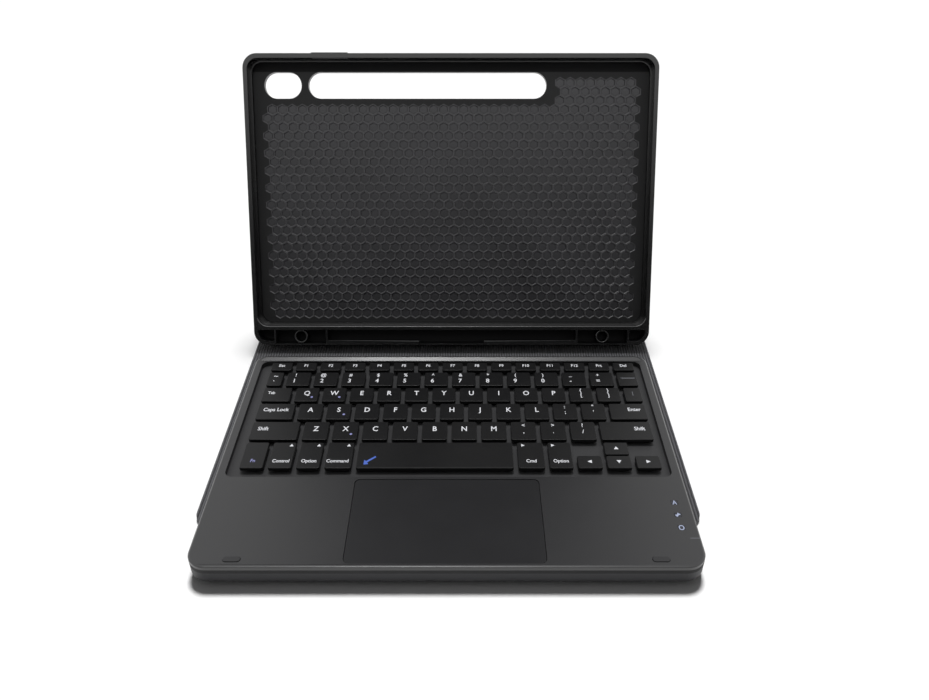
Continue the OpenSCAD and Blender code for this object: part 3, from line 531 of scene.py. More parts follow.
def foldStrip(name, crease, before, after):
    # a flat bar over the crease, cut across and laid on a curve from one panel to the next
    reach = foldLook["reach"] * mm
    bar = addBlock(name, (0, 0, 0), (coverWidth + 2 * foldLook["overhang"] * mm, 2 * reach,
                                     foldLook["thickness"] * mm))
    selectEdges(bar, lambda edge: abs(edge.verts[0].co.y - edge.verts[1].co.y) > reach)
    bpy.ops.mesh.subdivide(number_cuts=2 * foldLook["steps"] - 1)
    deselectAll()
    for point in bar.data.vertices:
        along, height = point.co.y / reach, point.co.z
        hollow = 1 - along * along
        run = (after * (1 + along) / 2 - before * (1 - along) / 2).normalized()
        spot = crease + (before * (1 - along) ** 2 + after * (1 + along) ** 2) * reach / 4
        spot -= (before + after) * reach / 4 * foldLook["sag"] * hollow
        spot += Vector((0, -run.z, run.y)) * height * (1 - foldLook["thinning"] * hollow)
        point.co = Vector((point.co.x, spot.y, spot.z))
    finishPiece(bar, foldLook["edge"], None, "cover_skin", angle=foldLook["smoothAngle"])
    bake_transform(bar)


forward, backward = Vector((0, -1, 0)), Vector((0, 1, 0))
foldStrip("creaseStripBase", hinges["spine_crease"], forward, backward)
foldStrip("creaseStripSpine", flapCrease, forward, flapWay)
foldStrip("creaseStripBack", backFold, -flapWay, panelWay)
print("creases")


# the soft shell

shellLook = {"lean": 24.7, "frontEdge": 1.3, "edge": 0.4, "buttonEdge": 0.5, "corner": 9.0,
             "outline": 0.05, "outlineCorner": 0.2, "rimWidth": 2.0, "filmGap": 0.1,
             "barEdge": 0.7, "bars": ((2.9, 3.3), (12.4, 19.0)),  # heights of the ledge and bar
             "ringEdge": 0.35, "ringDark": 1.7, "wall": 1.2,
             "troughFoot": 0.4, "troughTop": 10.3, "troughFront": 1.2, "troughBack": 9.7}
lean = math.radians(shellLook["lean"])
upWay = Vector((0, math.sin(lean), math.cos(lean)))
inWay = Vector((0, math.cos(lean), -math.sin(lean)))
shellNode = nodes["tablet_shell"].data
lowest = min(point.co.dot(upWay) for point in shellNode.vertices)
nearest = min(point.co.dot(inWay) for point in shellNode.vertices)
shellFoot = upWay * lowest + inWay * nearest
shellTop = max(point.co.dot(upWay) for point in shellNode.vertices) - lowest


def shellPlace(depth):
    # X along the shell, Y up its front and Z towards the typist
    turn = Matrix((Vector((1, 0, 0)), upWay, -inWay)).transposed().to_4x4()
    return Matrix.Translation(shellFoot + inWay * depth * mm) @ turn


def shellDepth(spot):
    return spot.dot(inWay) - nearest


def shellHeight(spot):
    return spot.dot(upWay) - lowest


def frontOf(piece):
    return min(shellDepth(point.co) for point in piece.data.vertices)


# frame and tray become one piece, without the closed magnet seats that nothing shows
edit(copyOfNode("softShell", "tablet_shell"))
shell, shellTray = sorted(widestParts("softShell", 2), key=frontOf)
trayFront = frontOf(shellTray)
for point in shell.data.vertices:
    if trayFront - shellLook["filmGap"] * mm < shellDepth(point.co) < trayFront:
        point.co += inWay * shellLook["filmGap"] * mm
useModifier(shell, "BOOLEAN", operation="UNION", solver="EXACT", object=shellTray)
bpy.data.objects.remove(shellTray)
shell.name = "softShell"
mergePoints(shell)
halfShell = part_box("tablet_shell")[1].x
cornerRound = shellLook["corner"] * mm


def onShellOutline(spot):
    across, up = abs(spot.x), shellHeight(spot)
    pastSide = across - (halfShell - cornerRound)
    pastEnd = max(cornerRound - up, up - (shellTop - cornerRound))
    if pastSide > 0 and pastEnd > 0:
        return math.hypot(pastSide, pastEnd) > cornerRound - shellLook["outlineCorner"] * mm
    line = shellLook["outline"] * mm
    return across > halfShell - line or up > shellTop - line


def isOuterRim(edge):
    spot = middle(edge)
    return shellDepth(spot) < closeBy and onShellOutline(spot) and shellHeight(spot) > cornerRound


def isBarEdge(edge):  # on the bar between pocket and trough and on the pen's ledge
    spot = middle(edge)
    return (shellDepth(spot) < closeBy
            and abs(edge.verts[0].co.x - edge.verts[1].co.x) > nearlyNone * edge.calc_length()
            and abs(spot.x) < halfShell - shellLook["rimWidth"] * mm
            and any(low * mm < shellHeight(spot) < high * mm for low, high in shellLook["bars"])
            and edge.calc_face_angle(0) > sharpTurn)


def isInTrough(face):
    up, deep = shellHeight(face.center), shellDepth(face.center)
    return (shellLook["troughFoot"] * mm < up < shellLook["troughTop"] * mm
            and shellLook["troughFront"] * mm < deep < shellLook["troughBack"] * mm
            and abs(face.center.x) < halfShell - shellLook["wall"] * mm)


selectEdges(shell, isOuterRim)
bevelPicked(shellLook["frontEdge"] * mm, 5)
selectEdges(shell, isBarEdge)
bevelPicked(shellLook["barEdge"] * mm, 4, clamp=False)
finishPiece(shell, shellLook["edge"], "shell", "soft_shell", segments=3)
# the trough's inside gets the painted shade
paintFaces(shell, [paintedShadeTone], isInTrough)

rings = copyOfNode("ringInserts", "trough_rings")
finishPiece(rings, shellLook["ringEdge"], "shell", "soft_shell", segments=3)
# the rings' insides get the painted shade
paintFaces(rings, [paintedShadeTone], lambda face: shellDepth(face.center) > shellLook["ringDark"] * mm)

button = copyOfNode("buttonCover", "shell_button_cover")
finishPiece(button, shellLook["buttonEdge"], "shell", "soft_button", segments=3)
print("shell")


# the honeycomb on the pocket's floor

combLook = {"cell": 6.5, "squash": 0.98, "wall": 0.22, "brink": 0.36, "brinkSink": 0.15,
            "slope": 0.3, "sink": 0.8, "raise": 0.9, "floorDepth": 10.6, "columns": 20,
            "rows": 15, "firstRow": 19.9, "side": 119.5, "holeTop": 153.5, "besideSlot": 67.0,
            "top": 172.0, "shadeFrom": 175.5, "join": 0.05, "smoothAngle": 20}
holes = {"height": 167.2, "size": 16.4, "camera": (-107.9, 24.0), "slot": (-15.2, 153.0)}
pocket = {"low": 14.3, "high": 181.1, "half": 126.9, "round": 5.5, "roundSteps": 10}


def repeat(piece, count, step):
    useModifier(piece, "ARRAY", count=count, use_relative_offset=False, use_constant_offset=True,
                constant_offset_displace=step)


def honeycomb():
    cell = combLook["cell"]
    rowPitch = cell * math.sqrt(3) / 2 * combLook["squash"]
    deselectAll()
    bpy.ops.mesh.primitive_circle_add(vertices=6, radius=cell / math.sqrt(3), fill_type="NGON")
    comb = named("honeycombFloor")
    comb.scale = (1, combLook["squash"], 1)
    applyPlace(comb)
    edit(comb, "FACE", "SELECT")
    bpy.ops.mesh.inset(thickness=combLook["wall"], depth=0)
    bpy.ops.mesh.inset(thickness=combLook["brink"], depth=-combLook["brinkSink"])
    bpy.ops.mesh.inset(thickness=combLook["slope"], depth=combLook["brinkSink"] - combLook["sink"])
    bpy.ops.mesh.select_all(action="SELECT")
    bpy.ops.mesh.duplicate()
    bpy.ops.transform.translate(value=(cell / 2, rowPitch, 0))
    deselectAll()
    repeat(comb, 2 * combLook["columns"], (cell, 0, 0))
    repeat(comb, combLook["rows"], (0, 2 * rowPitch, 0))
    firstX = -(combLook["columns"] - 0.25) * cell  # centred, odd rows half a cell further
    comb.location = (firstX, combLook["firstRow"], 0)
    applyPlace(comb)

    def cellCentre(spot):  # the centre of the cell that a spot belongs to
        row = round((spot.y - combLook["firstRow"]) / rowPitch)
        choices = []
        for near in (row - 1, row, row + 1):
            shift = firstX + (near % 2) * cell / 2
            column = round((spot.x - shift) / cell)
            choices.append(Vector((shift + column * cell,
                                   combLook["firstRow"] + near * rowPitch)))
        return min(choices, key=lambda centre: (
            (centre.x - spot.x) ** 2 + ((centre.y - spot.y) / combLook["squash"]) ** 2))

    def isOutside(face):
        centre = cellCentre(face.calc_center_median())
        if abs(centre.x) > combLook["side"] or centre.y > combLook["top"]:
            return True
        return centre.y > combLook["holeTop"] and centre.x < combLook["besideSlot"]

    selectFaces(comb, isOutside)
    bpy.ops.mesh.delete(type="FACE")
    bpy.ops.mesh.select_mode(type="VERT")
    bpy.ops.mesh.select_all(action="SELECT")
    bpy.ops.mesh.remove_doubles(threshold=combLook["join"])
    deselectAll()
    marks = comb.data.attributes.new("cell", "BOOLEAN", "FACE")
    marks.data.foreach_set("value", [True] * len(comb.data.polygons))
    return comb


def roundLoop(left, right, low, high, radius):
    deselectAll()
    bpy.ops.mesh.primitive_plane_add(size=1, location=((left + right) / 2, (low + high) / 2, 0))
    loop = bpy.context.object
    loop.scale = (right - left, high - low, 1)
    applyPlace(loop)
    edit(loop, "VERT", "SELECT")
    bevelPicked(radius * 0.999, pocket["roundSteps"], points=True)  # ends just short of meeting
    bpy.ops.mesh.select_all(action="SELECT")
    bpy.ops.mesh.delete(type="ONLY_FACE")
    deselectAll()
    return loop


def holeLoop(centre, width):
    half = holes["size"] / 2
    return roundLoop(centre - width / 2, centre + width / 2, holes["height"] - half,
                     holes["height"] + half, half)


def selectOpenEdges(loose=False):
    bpy.ops.mesh.select_non_manifold(extend=False, use_wire=loose, use_boundary=True,
                                     use_multi_face=False, use_non_contiguous=False,
                                     use_verts=False)


# cells, pocket outline and holes are joined, and the plain margin is filled in between them
floorPad = joined("honeycombFloor", [
    honeycomb(), roundLoop(-pocket["half"], pocket["half"], pocket["low"], pocket["high"],
                           pocket["round"]),
    holeLoop(*holes["camera"]), holeLoop(*holes["slot"])])
edit(floorPad, "EDGE")
selectOpenEdges(loose=True)
bpy.ops.mesh.fill(use_beauty=True)
bpy.ops.mesh.select_mode(type="FACE")
bpy.ops.mesh.select_all(action="SELECT")
bpy.ops.mesh.normals_make_consistent(inside=False)
bpy.ops.mesh.select_mode(type="EDGE")
bpy.ops.mesh.select_all(action="DESELECT")
selectOpenEdges()
bpy.ops.mesh.extrude_edges_move(TRANSFORM_OT_translate={"value": (0, 0, -combLook["raise"])})
bpy.ops.mesh.select_all(action="SELECT")
bpy.ops.mesh.bisect(plane_co=(0, combLook["shadeFrom"], 0), plane_no=(0, 1, 0))
deselectAll()
# 0 for the honeycomb, 1 for the plain margin and 2 for the strip under the top wall, which gets
# painted shade
inCells = [mark.value for mark in floorPad.data.attributes["cell"].data]
floorParts = [2 if face.center.y > combLook["shadeFrom"] else 0 if inCell else 1
              for face, inCell in zip(floorPad.data.polygons, inCells)]
floorPad.data.attributes.remove(floorPad.data.attributes["cell"])
floorPad.scale = (mm, mm, mm)
applyPlace(floorPad)
floorPad.matrix_world = shellPlace(combLook["floorDepth"] - combLook["raise"])
applyPlace(floorPad)
smooth(floorPad, combLook["smoothAngle"])
place(floorPad, "shell", "soft_shell", padTone)
paintFaces(floorPad, [marginTone, paintedShadeTone], lambda face: floorParts[face.index])
print("honeycomb", len(floorPad.data.polygons))


# the keyboard's housing, touchpad and small parts

housingLook = {"topRound": 2.0, "topProfile": 0.34, "topFlat": 0.78, "lowerEdge": 1.1,
               "edge": 0.22, "wellRound": 0.7, "padBrink": 0.6, "padReach": 0.6,
               "sideHeight": 4.0, "traySideHeight": 5.0, "smoothAngle": 30}

housing = copyOfNode("upperHousing", "keyboard_top_housing")
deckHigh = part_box("keyboard_top_housing")[1]
wellLow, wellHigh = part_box("key_support_plate")
padLow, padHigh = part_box("touchpad_plate")


def isOnDeck(edge):
    return middle(edge).z > deckHigh.z - closeBy


def isDeckRim(edge):
    return (isOnDeck(edge) and any(facesUp(face) for face in edge.link_faces)
            and any(isWall(face, housingLook["sideHeight"] * mm) for face in edge.link_faces))


def isWellRim(edge):
    spot = middle(edge)
    return (isOnDeck(edge) and wellLow.y < spot.y < wellHigh.y and wellLow.x < spot.x < wellHigh.x
            and any(isWall(face) for face in edge.link_faces))


def isPadBrink(edge):  # the rear edge of the touchpad's opening
    spot, reach = middle(edge), housingLook["padReach"] * mm
    return (isOnDeck(edge) and padLow.x - reach < spot.x < padHigh.x + reach
            and abs(spot.y - padHigh.y) < reach and edge.calc_face_angle(0) > sharpTurn)


selectEdges(housing, isDeckRim)
bevelPicked(housingLook["topRound"] * mm, 9, profile=housingLook["topProfile"])
bpy.ops.transform.resize(value=(1, 1, housingLook["topFlat"]),
                         center_override=(0, 0, deckHigh.z))  # makes the rounding shallower
selectEdges(housing, isWellRim)
bevelPicked(housingLook["wellRound"] * mm, 4)
selectEdges(housing, isPadBrink)
bevelPicked(housingLook["padBrink"] * mm, 3)
finishPiece(housing, housingLook["edge"], "keyboard", "deck_plastic",
            angle=housingLook["smoothAngle"])

tray = copyOfNode("lowerHousing", "keyboard_bottom_housing")
trayLow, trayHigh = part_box("keyboard_bottom_housing")


def isOuterFoot(edge):
    return (middle(edge).z < trayLow.z + closeBy
            and any(isWall(face, housingLook["traySideHeight"] * mm) for face in edge.link_faces))


selectEdges(tray, isOuterFoot)
bevelPicked(housingLook["lowerEdge"] * mm, 4)
finishPiece(tray, housingLook["edge"], "keyboard", "housing_plastic",
            angle=housingLook["smoothAngle"])

# a dark band where the two halves meet: the joint's dark line, widened into painted shade below
# the deck's rounding
seamLook = {"low": 0.5, "high": 1.6, "proud": 0.05, "thickness": 0.1}
seam = addObject("partingSeam", nodes["keyboard_bottom_housing"].data.copy())
seam.data.name = "partingSeam"
edit(seam, "FACE", "SELECT")
bpy.ops.mesh.remove_doubles(threshold=mergeGap)
bpy.ops.mesh.bisect(plane_co=(0, 0, trayHigh.z - seamLook["low"] * mm), plane_no=(0, 0, 1),
                    clear_inner=True)
selectFaces(seam, lambda face: not isWall(face))
bpy.ops.mesh.delete(type="FACE")
seam = widestParts("partingSeam")[0]
seam.name = "partingSeam"
for point in seam.data.vertices:
    if point.co.z > trayHigh.z - closeBy / 2:
        point.co.z = trayHigh.z + seamLook["high"] * mm
useModifier(seam, "SOLIDIFY", thickness=seamLook["thickness"] * mm,
            offset=2 * seamLook["proud"] / seamLook["thickness"] - 1)
smooth(seam, housingLook["smoothAngle"])
place(seam, "keyboard", "soft_rubber")

smallLook = {"touchpad_plate": ("touchpad", "touchpad_surface", 0.14),
             "deck_bumpers": ("keyboard", "soft_rubber", 0.3),
             "indicator_windows": ("keyboard", "light_window", 0.08),
             "power_switch": ("switch_knob", "switch_plastic", 0.2),
             "charging_port": ("keyboard", "port_metal", 0.08),
             "keyboard_feet": ("keyboard", "soft_rubber", 0.15),
             "key_support_plate": ("keyboard", "plate_plastic", 0.1)}
for nodeName, (body, slotName, rounding) in smallLook.items():
    finishPiece(copyOfNode("soft_" + nodeName, nodeName), rounding, body, slotName,
                bumperTone if nodeName == "deck_bumpers" else None)

# the raised lip along the deck's rear edge, sloping down towards the keys
lipLook = {"inset": 1.6, "rear": 4.0, "depth": 1.8, "height": 1.7, "corner": 5.6, "edge": 0.3,
           "sunk": 0.5, "blank": 12.0, "drop": 0.03, "edgeAngle": 20}
lipRear = deckHigh.y - lipLook["rear"] * mm
lipFront = lipRear - lipLook["depth"] * mm
lip = addBlock("rearLip", (0, lipRear - lipLook["blank"] / 2 * mm,
                           deckHigh.z + (lipLook["height"] - lipLook["sunk"]) / 2 * mm),
               (2 * (deckHigh.x - lipLook["inset"] * mm), lipLook["blank"] * mm,
                (lipLook["height"] + lipLook["sunk"]) * mm))
selectEdges(lip, lambda edge: isUpright(edge) and middle(edge).y > lipRear - closeBy / 2)
bevelPicked(lipLook["corner"] * mm, 8)
bpy.ops.mesh.select_all(action="SELECT")
bpy.ops.mesh.bisect(plane_co=(0, lipFront, 0), plane_no=(0, 1, 0), use_fill=True,
                    clear_inner=True)
deselectAll()
for point in lip.data.vertices:
    if point.co.z > deckHigh.z:
        share = (point.co.y - lipFront) / (lipRear - lipFront) - lipLook["drop"]
        point.co.z = deckHigh.z + lipLook["height"] * mm * share
softenEdges(lip, lipLook["edge"] * mm, 3, lipLook["edgeAngle"])
smooth(lip, housingLook["smoothAngle"])
place(lip, "keyboard", "deck_plastic", lipTone)
print("housing")


# the keys

keyLook = {"corner": 1.1, "rim": 0.4, "thickness": 2.0, "stem": (5.0, 4.0), "stemDrop": 3.0,
           "wide": 25.0, "stemShares": (0.14, 0.5, 0.86), "smoothAngle": 28}


def islandBoxes(nodeName):
    # the boxes of a node's separate solids, from left to right
    work = bmesh.new()
    work.from_mesh(nodes[nodeName].data)
    bmesh.ops.remove_doubles(work, verts=work.verts, dist=mergeGap)
    left, boxes = set(work.verts), []
    while left:
        group, waiting = set(), [left.pop()]
        while waiting:
            point = waiting.pop()
            group.add(point)
            for link in point.link_edges:
                other = link.other_vert(point)
                if other in left:
                    left.discard(other)
                    waiting.append(other)
        low = Vector([min(point.co[axis] for point in group) for axis in range(3)])
        high = Vector([max(point.co[axis] for point in group) for axis in range(3)])
        boxes.append((low, high))
    work.free()
    return sorted(boxes, key=lambda box: box[0].x)


def keyCap(name, low, high):
    thickness = keyLook["thickness"] * mm
    size = (high.x - low.x, high.y - low.y, thickness)
    centre = ((low.x + high.x) / 2, (low.y + high.y) / 2, high.z - thickness / 2)
    cap = addBlock(name, centre, size)
    selectEdges(cap, isUpright)
    bevelPicked(keyLook["corner"] * mm, 5)
    selectFaces(cap, facesUp)
    bpy.ops.mesh.region_to_loop()
    bevelPicked(keyLook["rim"] * mm, 3)
    deselectAll()
    width, depth = keyLook["stem"]
    shares = keyLook["stemShares"] if size[0] > keyLook["wide"] * mm else (0.5,)
    drop = keyLook["stemDrop"] * mm
    return [cap] + [addBlock(name, (low.x + share * size[0], centre[1], low.z + drop / 2),
                             (width * mm, depth * mm, drop)) for share in shares]


keyNodes = [name for name in nodes if nodes[name]["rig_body"] == name]
keyBoxes = {name: islandBoxes(name) for name in keyNodes}
for nodeName in keyNodes:
    pieces = []
    for low, high in keyBoxes[nodeName]:
        pieces += keyCap(nodeName, low, high)
    keys = joined("caps_" + nodeName, pieces)
    smooth(keys, keyLook["smoothAngle"])
    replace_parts(keys, nodeName)
    place(keys, nodeName, "key_cap")
print("keys", sum(len(boxes) for boxes in keyBoxes.values()))


# the printed legends

wordLook = {"squeeze": 0.82, "capShare": 0.682, "bold": 0.014, "lift": 0.03, "curve": 3}
letterSize = {"function": 2.5, "shifted": 2.9, "digit": 3.6, "letter": 3.9, "word": 2.9,
              "small": 2.4}
# places on a key's top: shares of its width from the left and of its depth from the front
legendPlace = {"letter": (0.5, 0.6), "upperSign": (0.5, 0.8), "lowerSign": (0.5, 0.45),
               "upperDigit": (0.36, 0.79), "digit": (0.34, 0.36), "dot": (0.74, 0.3),
               "tilde": (0.5, 0.72), "accent": (0.45, 0.24), "fn": (0.5, 0.28),
               "line": (0.55, 0.55), "lineTip": (0.22, 0.55), "arrow": (0.5, 0.52),
               "upTip": (0.8, 0.88), "rightTip": (0.22, 0.88), "slant": (0.085, 0.3)}
markSize = {"dot": 1.5, "line": 8.4, "lineTip": 1.9, "arrow": 2.6, "tip": 2.2, "slant": 6.5}


def printWord(text, spot, height, align="CENTER"):
    # spot is the middle of the word on the key top, or its end for LEFT and RIGHT
    deselectAll()
    bpy.ops.object.text_add(location=(0, 0, 0))
    words = bpy.context.object
    words.data.body = text
    words.data.size = height * mm / wordLook["capShare"]
    words.data.offset = wordLook["bold"] * words.data.size
    words.data.resolution_u = wordLook["curve"]
    words.data.align_x = align
    words.location = (spot[0], spot[1] - height * mm / 2, spot[2] + wordLook["lift"] * mm)
    words.scale = (wordLook["squeeze"], 1, 1)
    bpy.ops.object.convert(target="MESH")
    applyPlace(words)
    return words


def printShape(points, spot, size):
    # a small flat mark drawn as one face, points in shares of its size
    height = spot[2] + wordLook["lift"] * mm
    shape = bpy.data.meshes.new("mark")
    shape.from_pydata([(x * size * mm + spot[0], y * size * mm + spot[1], height)
                       for x, y in points], [], [list(range(len(points)))])
    return addObject("mark", shape)


def keySpot(box, where):
    low, high = box
    return (low.x + where[0] * (high.x - low.x), low.y + where[1] * (high.y - low.y), high.z)


def printLegend(name, marks, body, ink, slotName="key_cap"):
    words = joined(name, marks)
    for face in words.data.polygons:
        if face.normal.z < 0:
            face.flip()
    words.data.update()
    place(words, body, slotName, ink)


arrowShape = {"up": [(-0.5, -0.4), (0.5, -0.4), (0, 0.5)],
              "down": [(-0.5, 0.4), (0, -0.5), (0.5, 0.4)],
              "left": [(-0.5, 0), (0.4, -0.5), (0.4, 0.5)],
              "right": [(-0.4, -0.5), (0.5, 0), (-0.4, 0.5)]}
slantShape = [(-0.5, -0.55), (-0.1, -0.5), (-0.22, -0.3), (0.5, 0.35), (0.42, 0.5),
              (-0.32, -0.12), (-0.48, 0.02)]
boltShape = [(-0.2, -0.5), (0.1, -0.1), (0.5, 0.1), (0.0, 0.5), (-0.1, 0.1), (-0.5, 0.0)]
dotShape = [(math.cos(math.radians(part)) / 2, math.sin(math.radians(part)) / 2)
            for part in range(0, 360, 30)]
lineShape = [(-0.5, -0.04), (0.5, -0.04), (0.5, 0.04), (-0.5, 0.04)]

letters = {"upper_letters_left": "QWERTY", "upper_letters_right": "UIOP[]",
           "home_letters_left": "ASDFGH", "home_letters_right": "JKL;'",
           "lower_letters_left": "ZXCVB", "lower_letters_right": "NM,./"}
shifted = {"[": "{", "]": "}", ";": ":", "'": '"', ",": "<", ".": ">", "/": "?"}
digits = {"number_keys_left": "123456", "number_keys_right": "7890-="}
shiftedDigits = {"number_keys_left": "!@#$%^", "number_keys_right": "&*()_+"}
functions = {"key_escape": ["Esc"],
             "function_keys_left": ["F%d" % number for number in range(1, 8)],
             "function_keys_right": ["F8", "F9", "F10", "F11", "F12", "Prt", "Del"]}
# each key's word with its place and size, centred there but for the three in wordSide
wordsOnKeys = {"key_tab": ("Tab", (0.3, 0.62), "small"),
               "key_caps": ("Caps Lock", (0.5, 0.61), "word"),
               "key_shift_left": ("Shift", (0.13, 0.61), "word"),
               "key_shift_right": ("Shift", (0.88, 0.61), "word"),
               "key_enter": ("Enter", (0.86, 0.62), "word"),
               "key_control": ("Control", (0.5, 0.27), "small"),
               "key_option_left": ("Option", (0.5, 0.27), "small"),
               "key_command_left": ("Command", (0.46, 0.27), "small"),
               "key_command_right": ("Cmd", (0.5, 0.27), "small"),
               "key_option_right": ("Option", (0.5, 0.27), "small")}
wordSide = {"key_shift_left": "LEFT", "key_shift_right": "RIGHT", "key_enter": "RIGHT"}
dotKeys = {"upper_letters_left": (0, 1), "home_letters_left": (1,), "lower_letters_left": (1,)}
upTips = ("key_control", "key_option_left", "key_command_left")
rightTips = ("key_command_right", "key_option_right")


def groupLegend(nodeName, index, box):
    # what stands on one key of a row's half: a letter, two signs, a digit or a function
    def word(text, where, size):
        return printWord(text, keySpot(box, legendPlace[where]), letterSize[size])

    if nodeName in letters:
        letter = letters[nodeName][index]
        if letter in shifted:
            return [word(shifted[letter], "upperSign", "shifted"),
                    word(letter, "lowerSign", "shifted")]
        return [word(letter, "letter", "letter")]
    if nodeName in digits:
        return [word(shiftedDigits[nodeName][index], "upperDigit", "shifted"),
                word(digits[nodeName][index], "digit", "digit")]
    if nodeName in functions:
        return [word(functions[nodeName][index], "letter", "function")]
    return []


for nodeName, boxes in keyBoxes.items():
    marks, blue, lilac, dim = [], [], [], []
    for index, box in enumerate(boxes):
        marks += groupLegend(nodeName, index, box)
        if index in dotKeys.get(nodeName, ()):
            lilac.append(printShape(dotShape, keySpot(box, legendPlace["dot"]), markSize["dot"]))
    spots = {where: keySpot(boxes[0], share) for where, share in legendPlace.items()}
    if nodeName in wordsOnKeys:
        text, share, size = wordsOnKeys[nodeName]
        marks.append(printWord(text, keySpot(boxes[0], share), letterSize[size],
                               wordSide.get(nodeName, "CENTER")))
    if nodeName == "key_accent":
        marks.append(printWord("~", spots["tilde"], letterSize["digit"]))
        marks.append(printWord("`", spots["accent"], letterSize["digit"]))
    if nodeName == "key_backslash":
        dim.append(printWord("|", spots["letter"], letterSize["word"]))
    if nodeName == "key_backspace":
        dim.append(printShape(lineShape, spots["line"], markSize["line"]))
        dim.append(printShape(arrowShape["left"], spots["lineTip"], markSize["lineTip"]))
    if nodeName == "key_fn":
        lilac.append(printWord("Fn", spots["fn"], letterSize["small"]))
    if nodeName.startswith("key_arrow"):
        arrow = arrowShape[nodeName.split("_")[-1]]
        marks.append(printShape(arrow, spots["arrow"], markSize["arrow"]))
    if nodeName in upTips:
        marks.append(printShape(arrowShape["up"], spots["upTip"], markSize["tip"]))
    if nodeName in rightTips:
        marks.append(printShape(arrowShape["right"], spots["rightTip"], markSize["tip"]))
    if nodeName == "key_space":
        blue.append(printShape(slantShape, spots["slant"], markSize["slant"]))
    for prefix, printed, ink in (("legend_", marks, inkWhite), ("blueLegend_", blue, inkBlue),
                                 ("lilacLegend_", lilac, inkLilac), ("greyLegend_", dim, inkDim)):
        if printed:
            printLegend(prefix + nodeName, printed, nodeName, ink)
print("legends")


# the marks on the deck: a letter, a bolt and a ring on the lights, and a line by the switch

deckLook = {"letter": 2.7, "bolt": 3.0, "ring": 3.1, "line": 5.0, "lineBeside": 3.6,
            "lineBehind": 1.0}
lightSpots = [((low.x + high.x) / 2, (low.y + high.y) / 2, high.z) for low, high in sorted(
    islandBoxes("indicator_windows"), key=lambda box: -box[0].y)]
deckMarks = [printWord("A", lightSpots[0], deckLook["letter"]),
             printShape(boltShape, lightSpots[1], deckLook["bolt"]),
             printWord("O", lightSpots[2], deckLook["ring"])]
switchLow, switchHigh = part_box("power_switch")
lineSpot = (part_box("indicator_windows")[1].x + deckLook["lineBeside"] * mm,
            (switchLow.y + switchHigh.y) / 2 + deckLook["lineBehind"] * mm, deckHigh.z)
switchMark = [printShape(lineShape, lineSpot, deckLook["line"])]
printLegend("deckMarks", deckMarks, "keyboard", lampWhite, "light_window")
printLegend("switchMark", switchMark, "keyboard", inkDim, "light_window")
print("marks")


# every other CAD piece keeps its own mesh

slotOf = {part["node"]: part["material_slot"] for part in frame["record"]["subparts"]}
covered = {name for piece in bpy.data.objects for name in piece.get("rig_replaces", [])}
for nodeName, piece in nodes.items():
    if nodeName not in covered:
        piece.data.materials.clear()
        piece.data.materials.append(finishes[slotOf[nodeName]])
print("other pieces", len(nodes) - len(covered))


# the floor, the light and the camera

stageLook = {"size": 12.0, "drop": 0.4, "floor": 0.95, "rough": 0.9, "specular": 0.2}
# the room is white above and behind the object, and dim low down in front of it, with a dark
# ceiling high behind the object that is open at both sides
lightLook = {"sky": 0.1, "dim": 0.01, "backWeight": 1.2, "dimBelow": -0.68, "fullAbove": -0.42,
             "ceiling": 0.84, "ceilingSides": (0.1, 0.26), "ceilingBack": (0.4, 0.6),
             "ceilingHeight": (0.35, 0.6)}
# one lamp gives the light and the shadow, the other only the glints on the edges
lampLook = {"topLight": {"power": 3.5, "spread": 13.0, "from": (0.02, 0.42, 1.0),
                         "glints": False},
            "frontLight": {"power": 0.36, "spread": 10.0, "from": (-0.06, -0.58, 0.82),
                           "glints": True}}
cameraLook = {"place": (8.56, -392.93, 318.46), "tilt": 55.26, "lens": 32.01, "sensor": 36.0}

deselectAll()
bpy.ops.mesh.primitive_plane_add(size=stageLook["size"], location=(0, 0, -stageLook["drop"] * mm))
floor = named("floor")
floorPaint = bpy.data.materials.new("floorPaint")
floorPaint.use_nodes = True
setInputs(floorPaint.node_tree.nodes["Principled BSDF"],
          {"Base Color": (stageLook["floor"],) * 3 + (1,), "Roughness": stageLook["rough"],
           "Specular IOR Level": stageLook["specular"]})
floor.data.materials.append(floorPaint)

world = bpy.data.worlds.new("paleRoom")
bpy.context.scene.world = world
world.use_nodes = True
sky = world.node_tree
sky.nodes.clear()


def skyMath(operation, first, second=None):
    return mathNode(sky, operation, first, second)


def smoothStep(value, low, high, start=0.0, end=1.0):
    node = sky.nodes.new("ShaderNodeMapRange")
    node.interpolation_type = "SMOOTHSTEP"
    sky.links.new(value, node.inputs["Value"])
    setInputs(node, {"From Min": low, "From Max": high, "To Min": start, "To Max": end})
    return node.outputs["Result"]


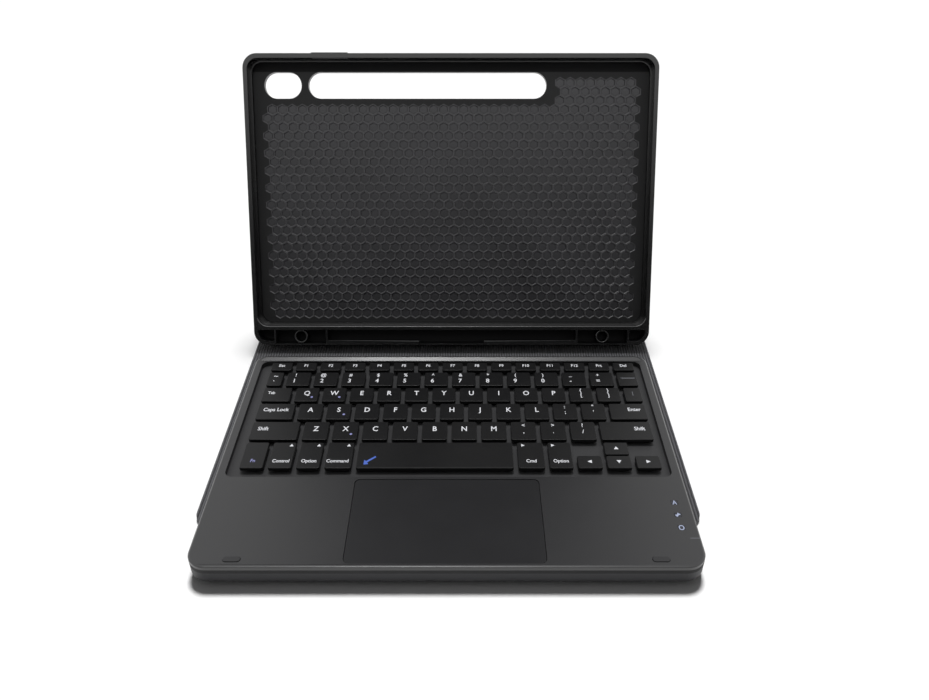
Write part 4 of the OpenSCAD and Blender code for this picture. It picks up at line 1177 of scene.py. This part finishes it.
rays = sky.nodes.new("ShaderNodeLightPath")
way = sky.nodes.new("ShaderNodeSeparateXYZ")
sky.links.new(sky.nodes.new("ShaderNodeTexCoord").outputs["Generated"], way.inputs[0])
slope = skyMath("ADD", way.outputs["Z"], times(sky, way.outputs["Y"], lightLook["backWeight"]))
front = smoothStep(slope, lightLook["dimBelow"], lightLook["fullAbove"], lightLook["dim"])
middlePart = smoothStep(skyMath("ABSOLUTE", way.outputs["X"]), *lightLook["ceilingSides"], 1, 0)
backPart = smoothStep(way.outputs["Y"], *lightLook["ceilingBack"])
highPart = smoothStep(way.outputs["Z"], *lightLook["ceilingHeight"])
ceiling = times(sky, times(sky, middlePart, backPart), highPart)
openPart = skyMath("SUBTRACT", 1.0, times(sky, ceiling, lightLook["ceiling"]))
room = times(sky, front, openPart)
glossy = skyMath("ADD", times(sky, rays.outputs["Is Glossy Ray"], 1 - lightLook["sky"]),
                 lightLook["sky"])
straight = skyMath("MAXIMUM", rays.outputs["Is Camera Ray"], rays.outputs["Is Transmission Ray"])
strength = skyMath("MAXIMUM", straight, times(sky, room, glossy))
white = sky.nodes.new("ShaderNodeBackground")
skyEnd = sky.nodes.new("ShaderNodeOutputWorld")
sky.links.new(strength, white.inputs["Strength"])
white.inputs["Color"].default_value = (1, 1, 1, 1)
sky.links.new(white.outputs[0], skyEnd.inputs["Surface"])

for lampName, lamp in lampLook.items():
    lampData = bpy.data.lights.new(lampName, "SUN")
    lampData.energy = lamp["power"]
    lampData.angle = math.radians(lamp["spread"])
    lampObject = addObject(lampName, lampData)
    lampObject.visible_glossy = lamp["glints"]
    lampObject.visible_diffuse = not lamp["glints"]
    lampObject.rotation_euler = Vector(lamp["from"]).to_track_quat("Z", "Y").to_euler()

cameraData = bpy.data.cameras.new("camera")
cameraData.lens = cameraLook["lens"]
cameraData.sensor_width = cameraLook["sensor"]
camera = addObject("camera", cameraData)
camera.location = [value * mm for value in cameraLook["place"]]
camera.rotation_euler = (math.radians(cameraLook["tilt"]), 0, 0)
bpy.context.scene.camera = camera
bpy.context.scene.view_settings.view_transform = "Standard"
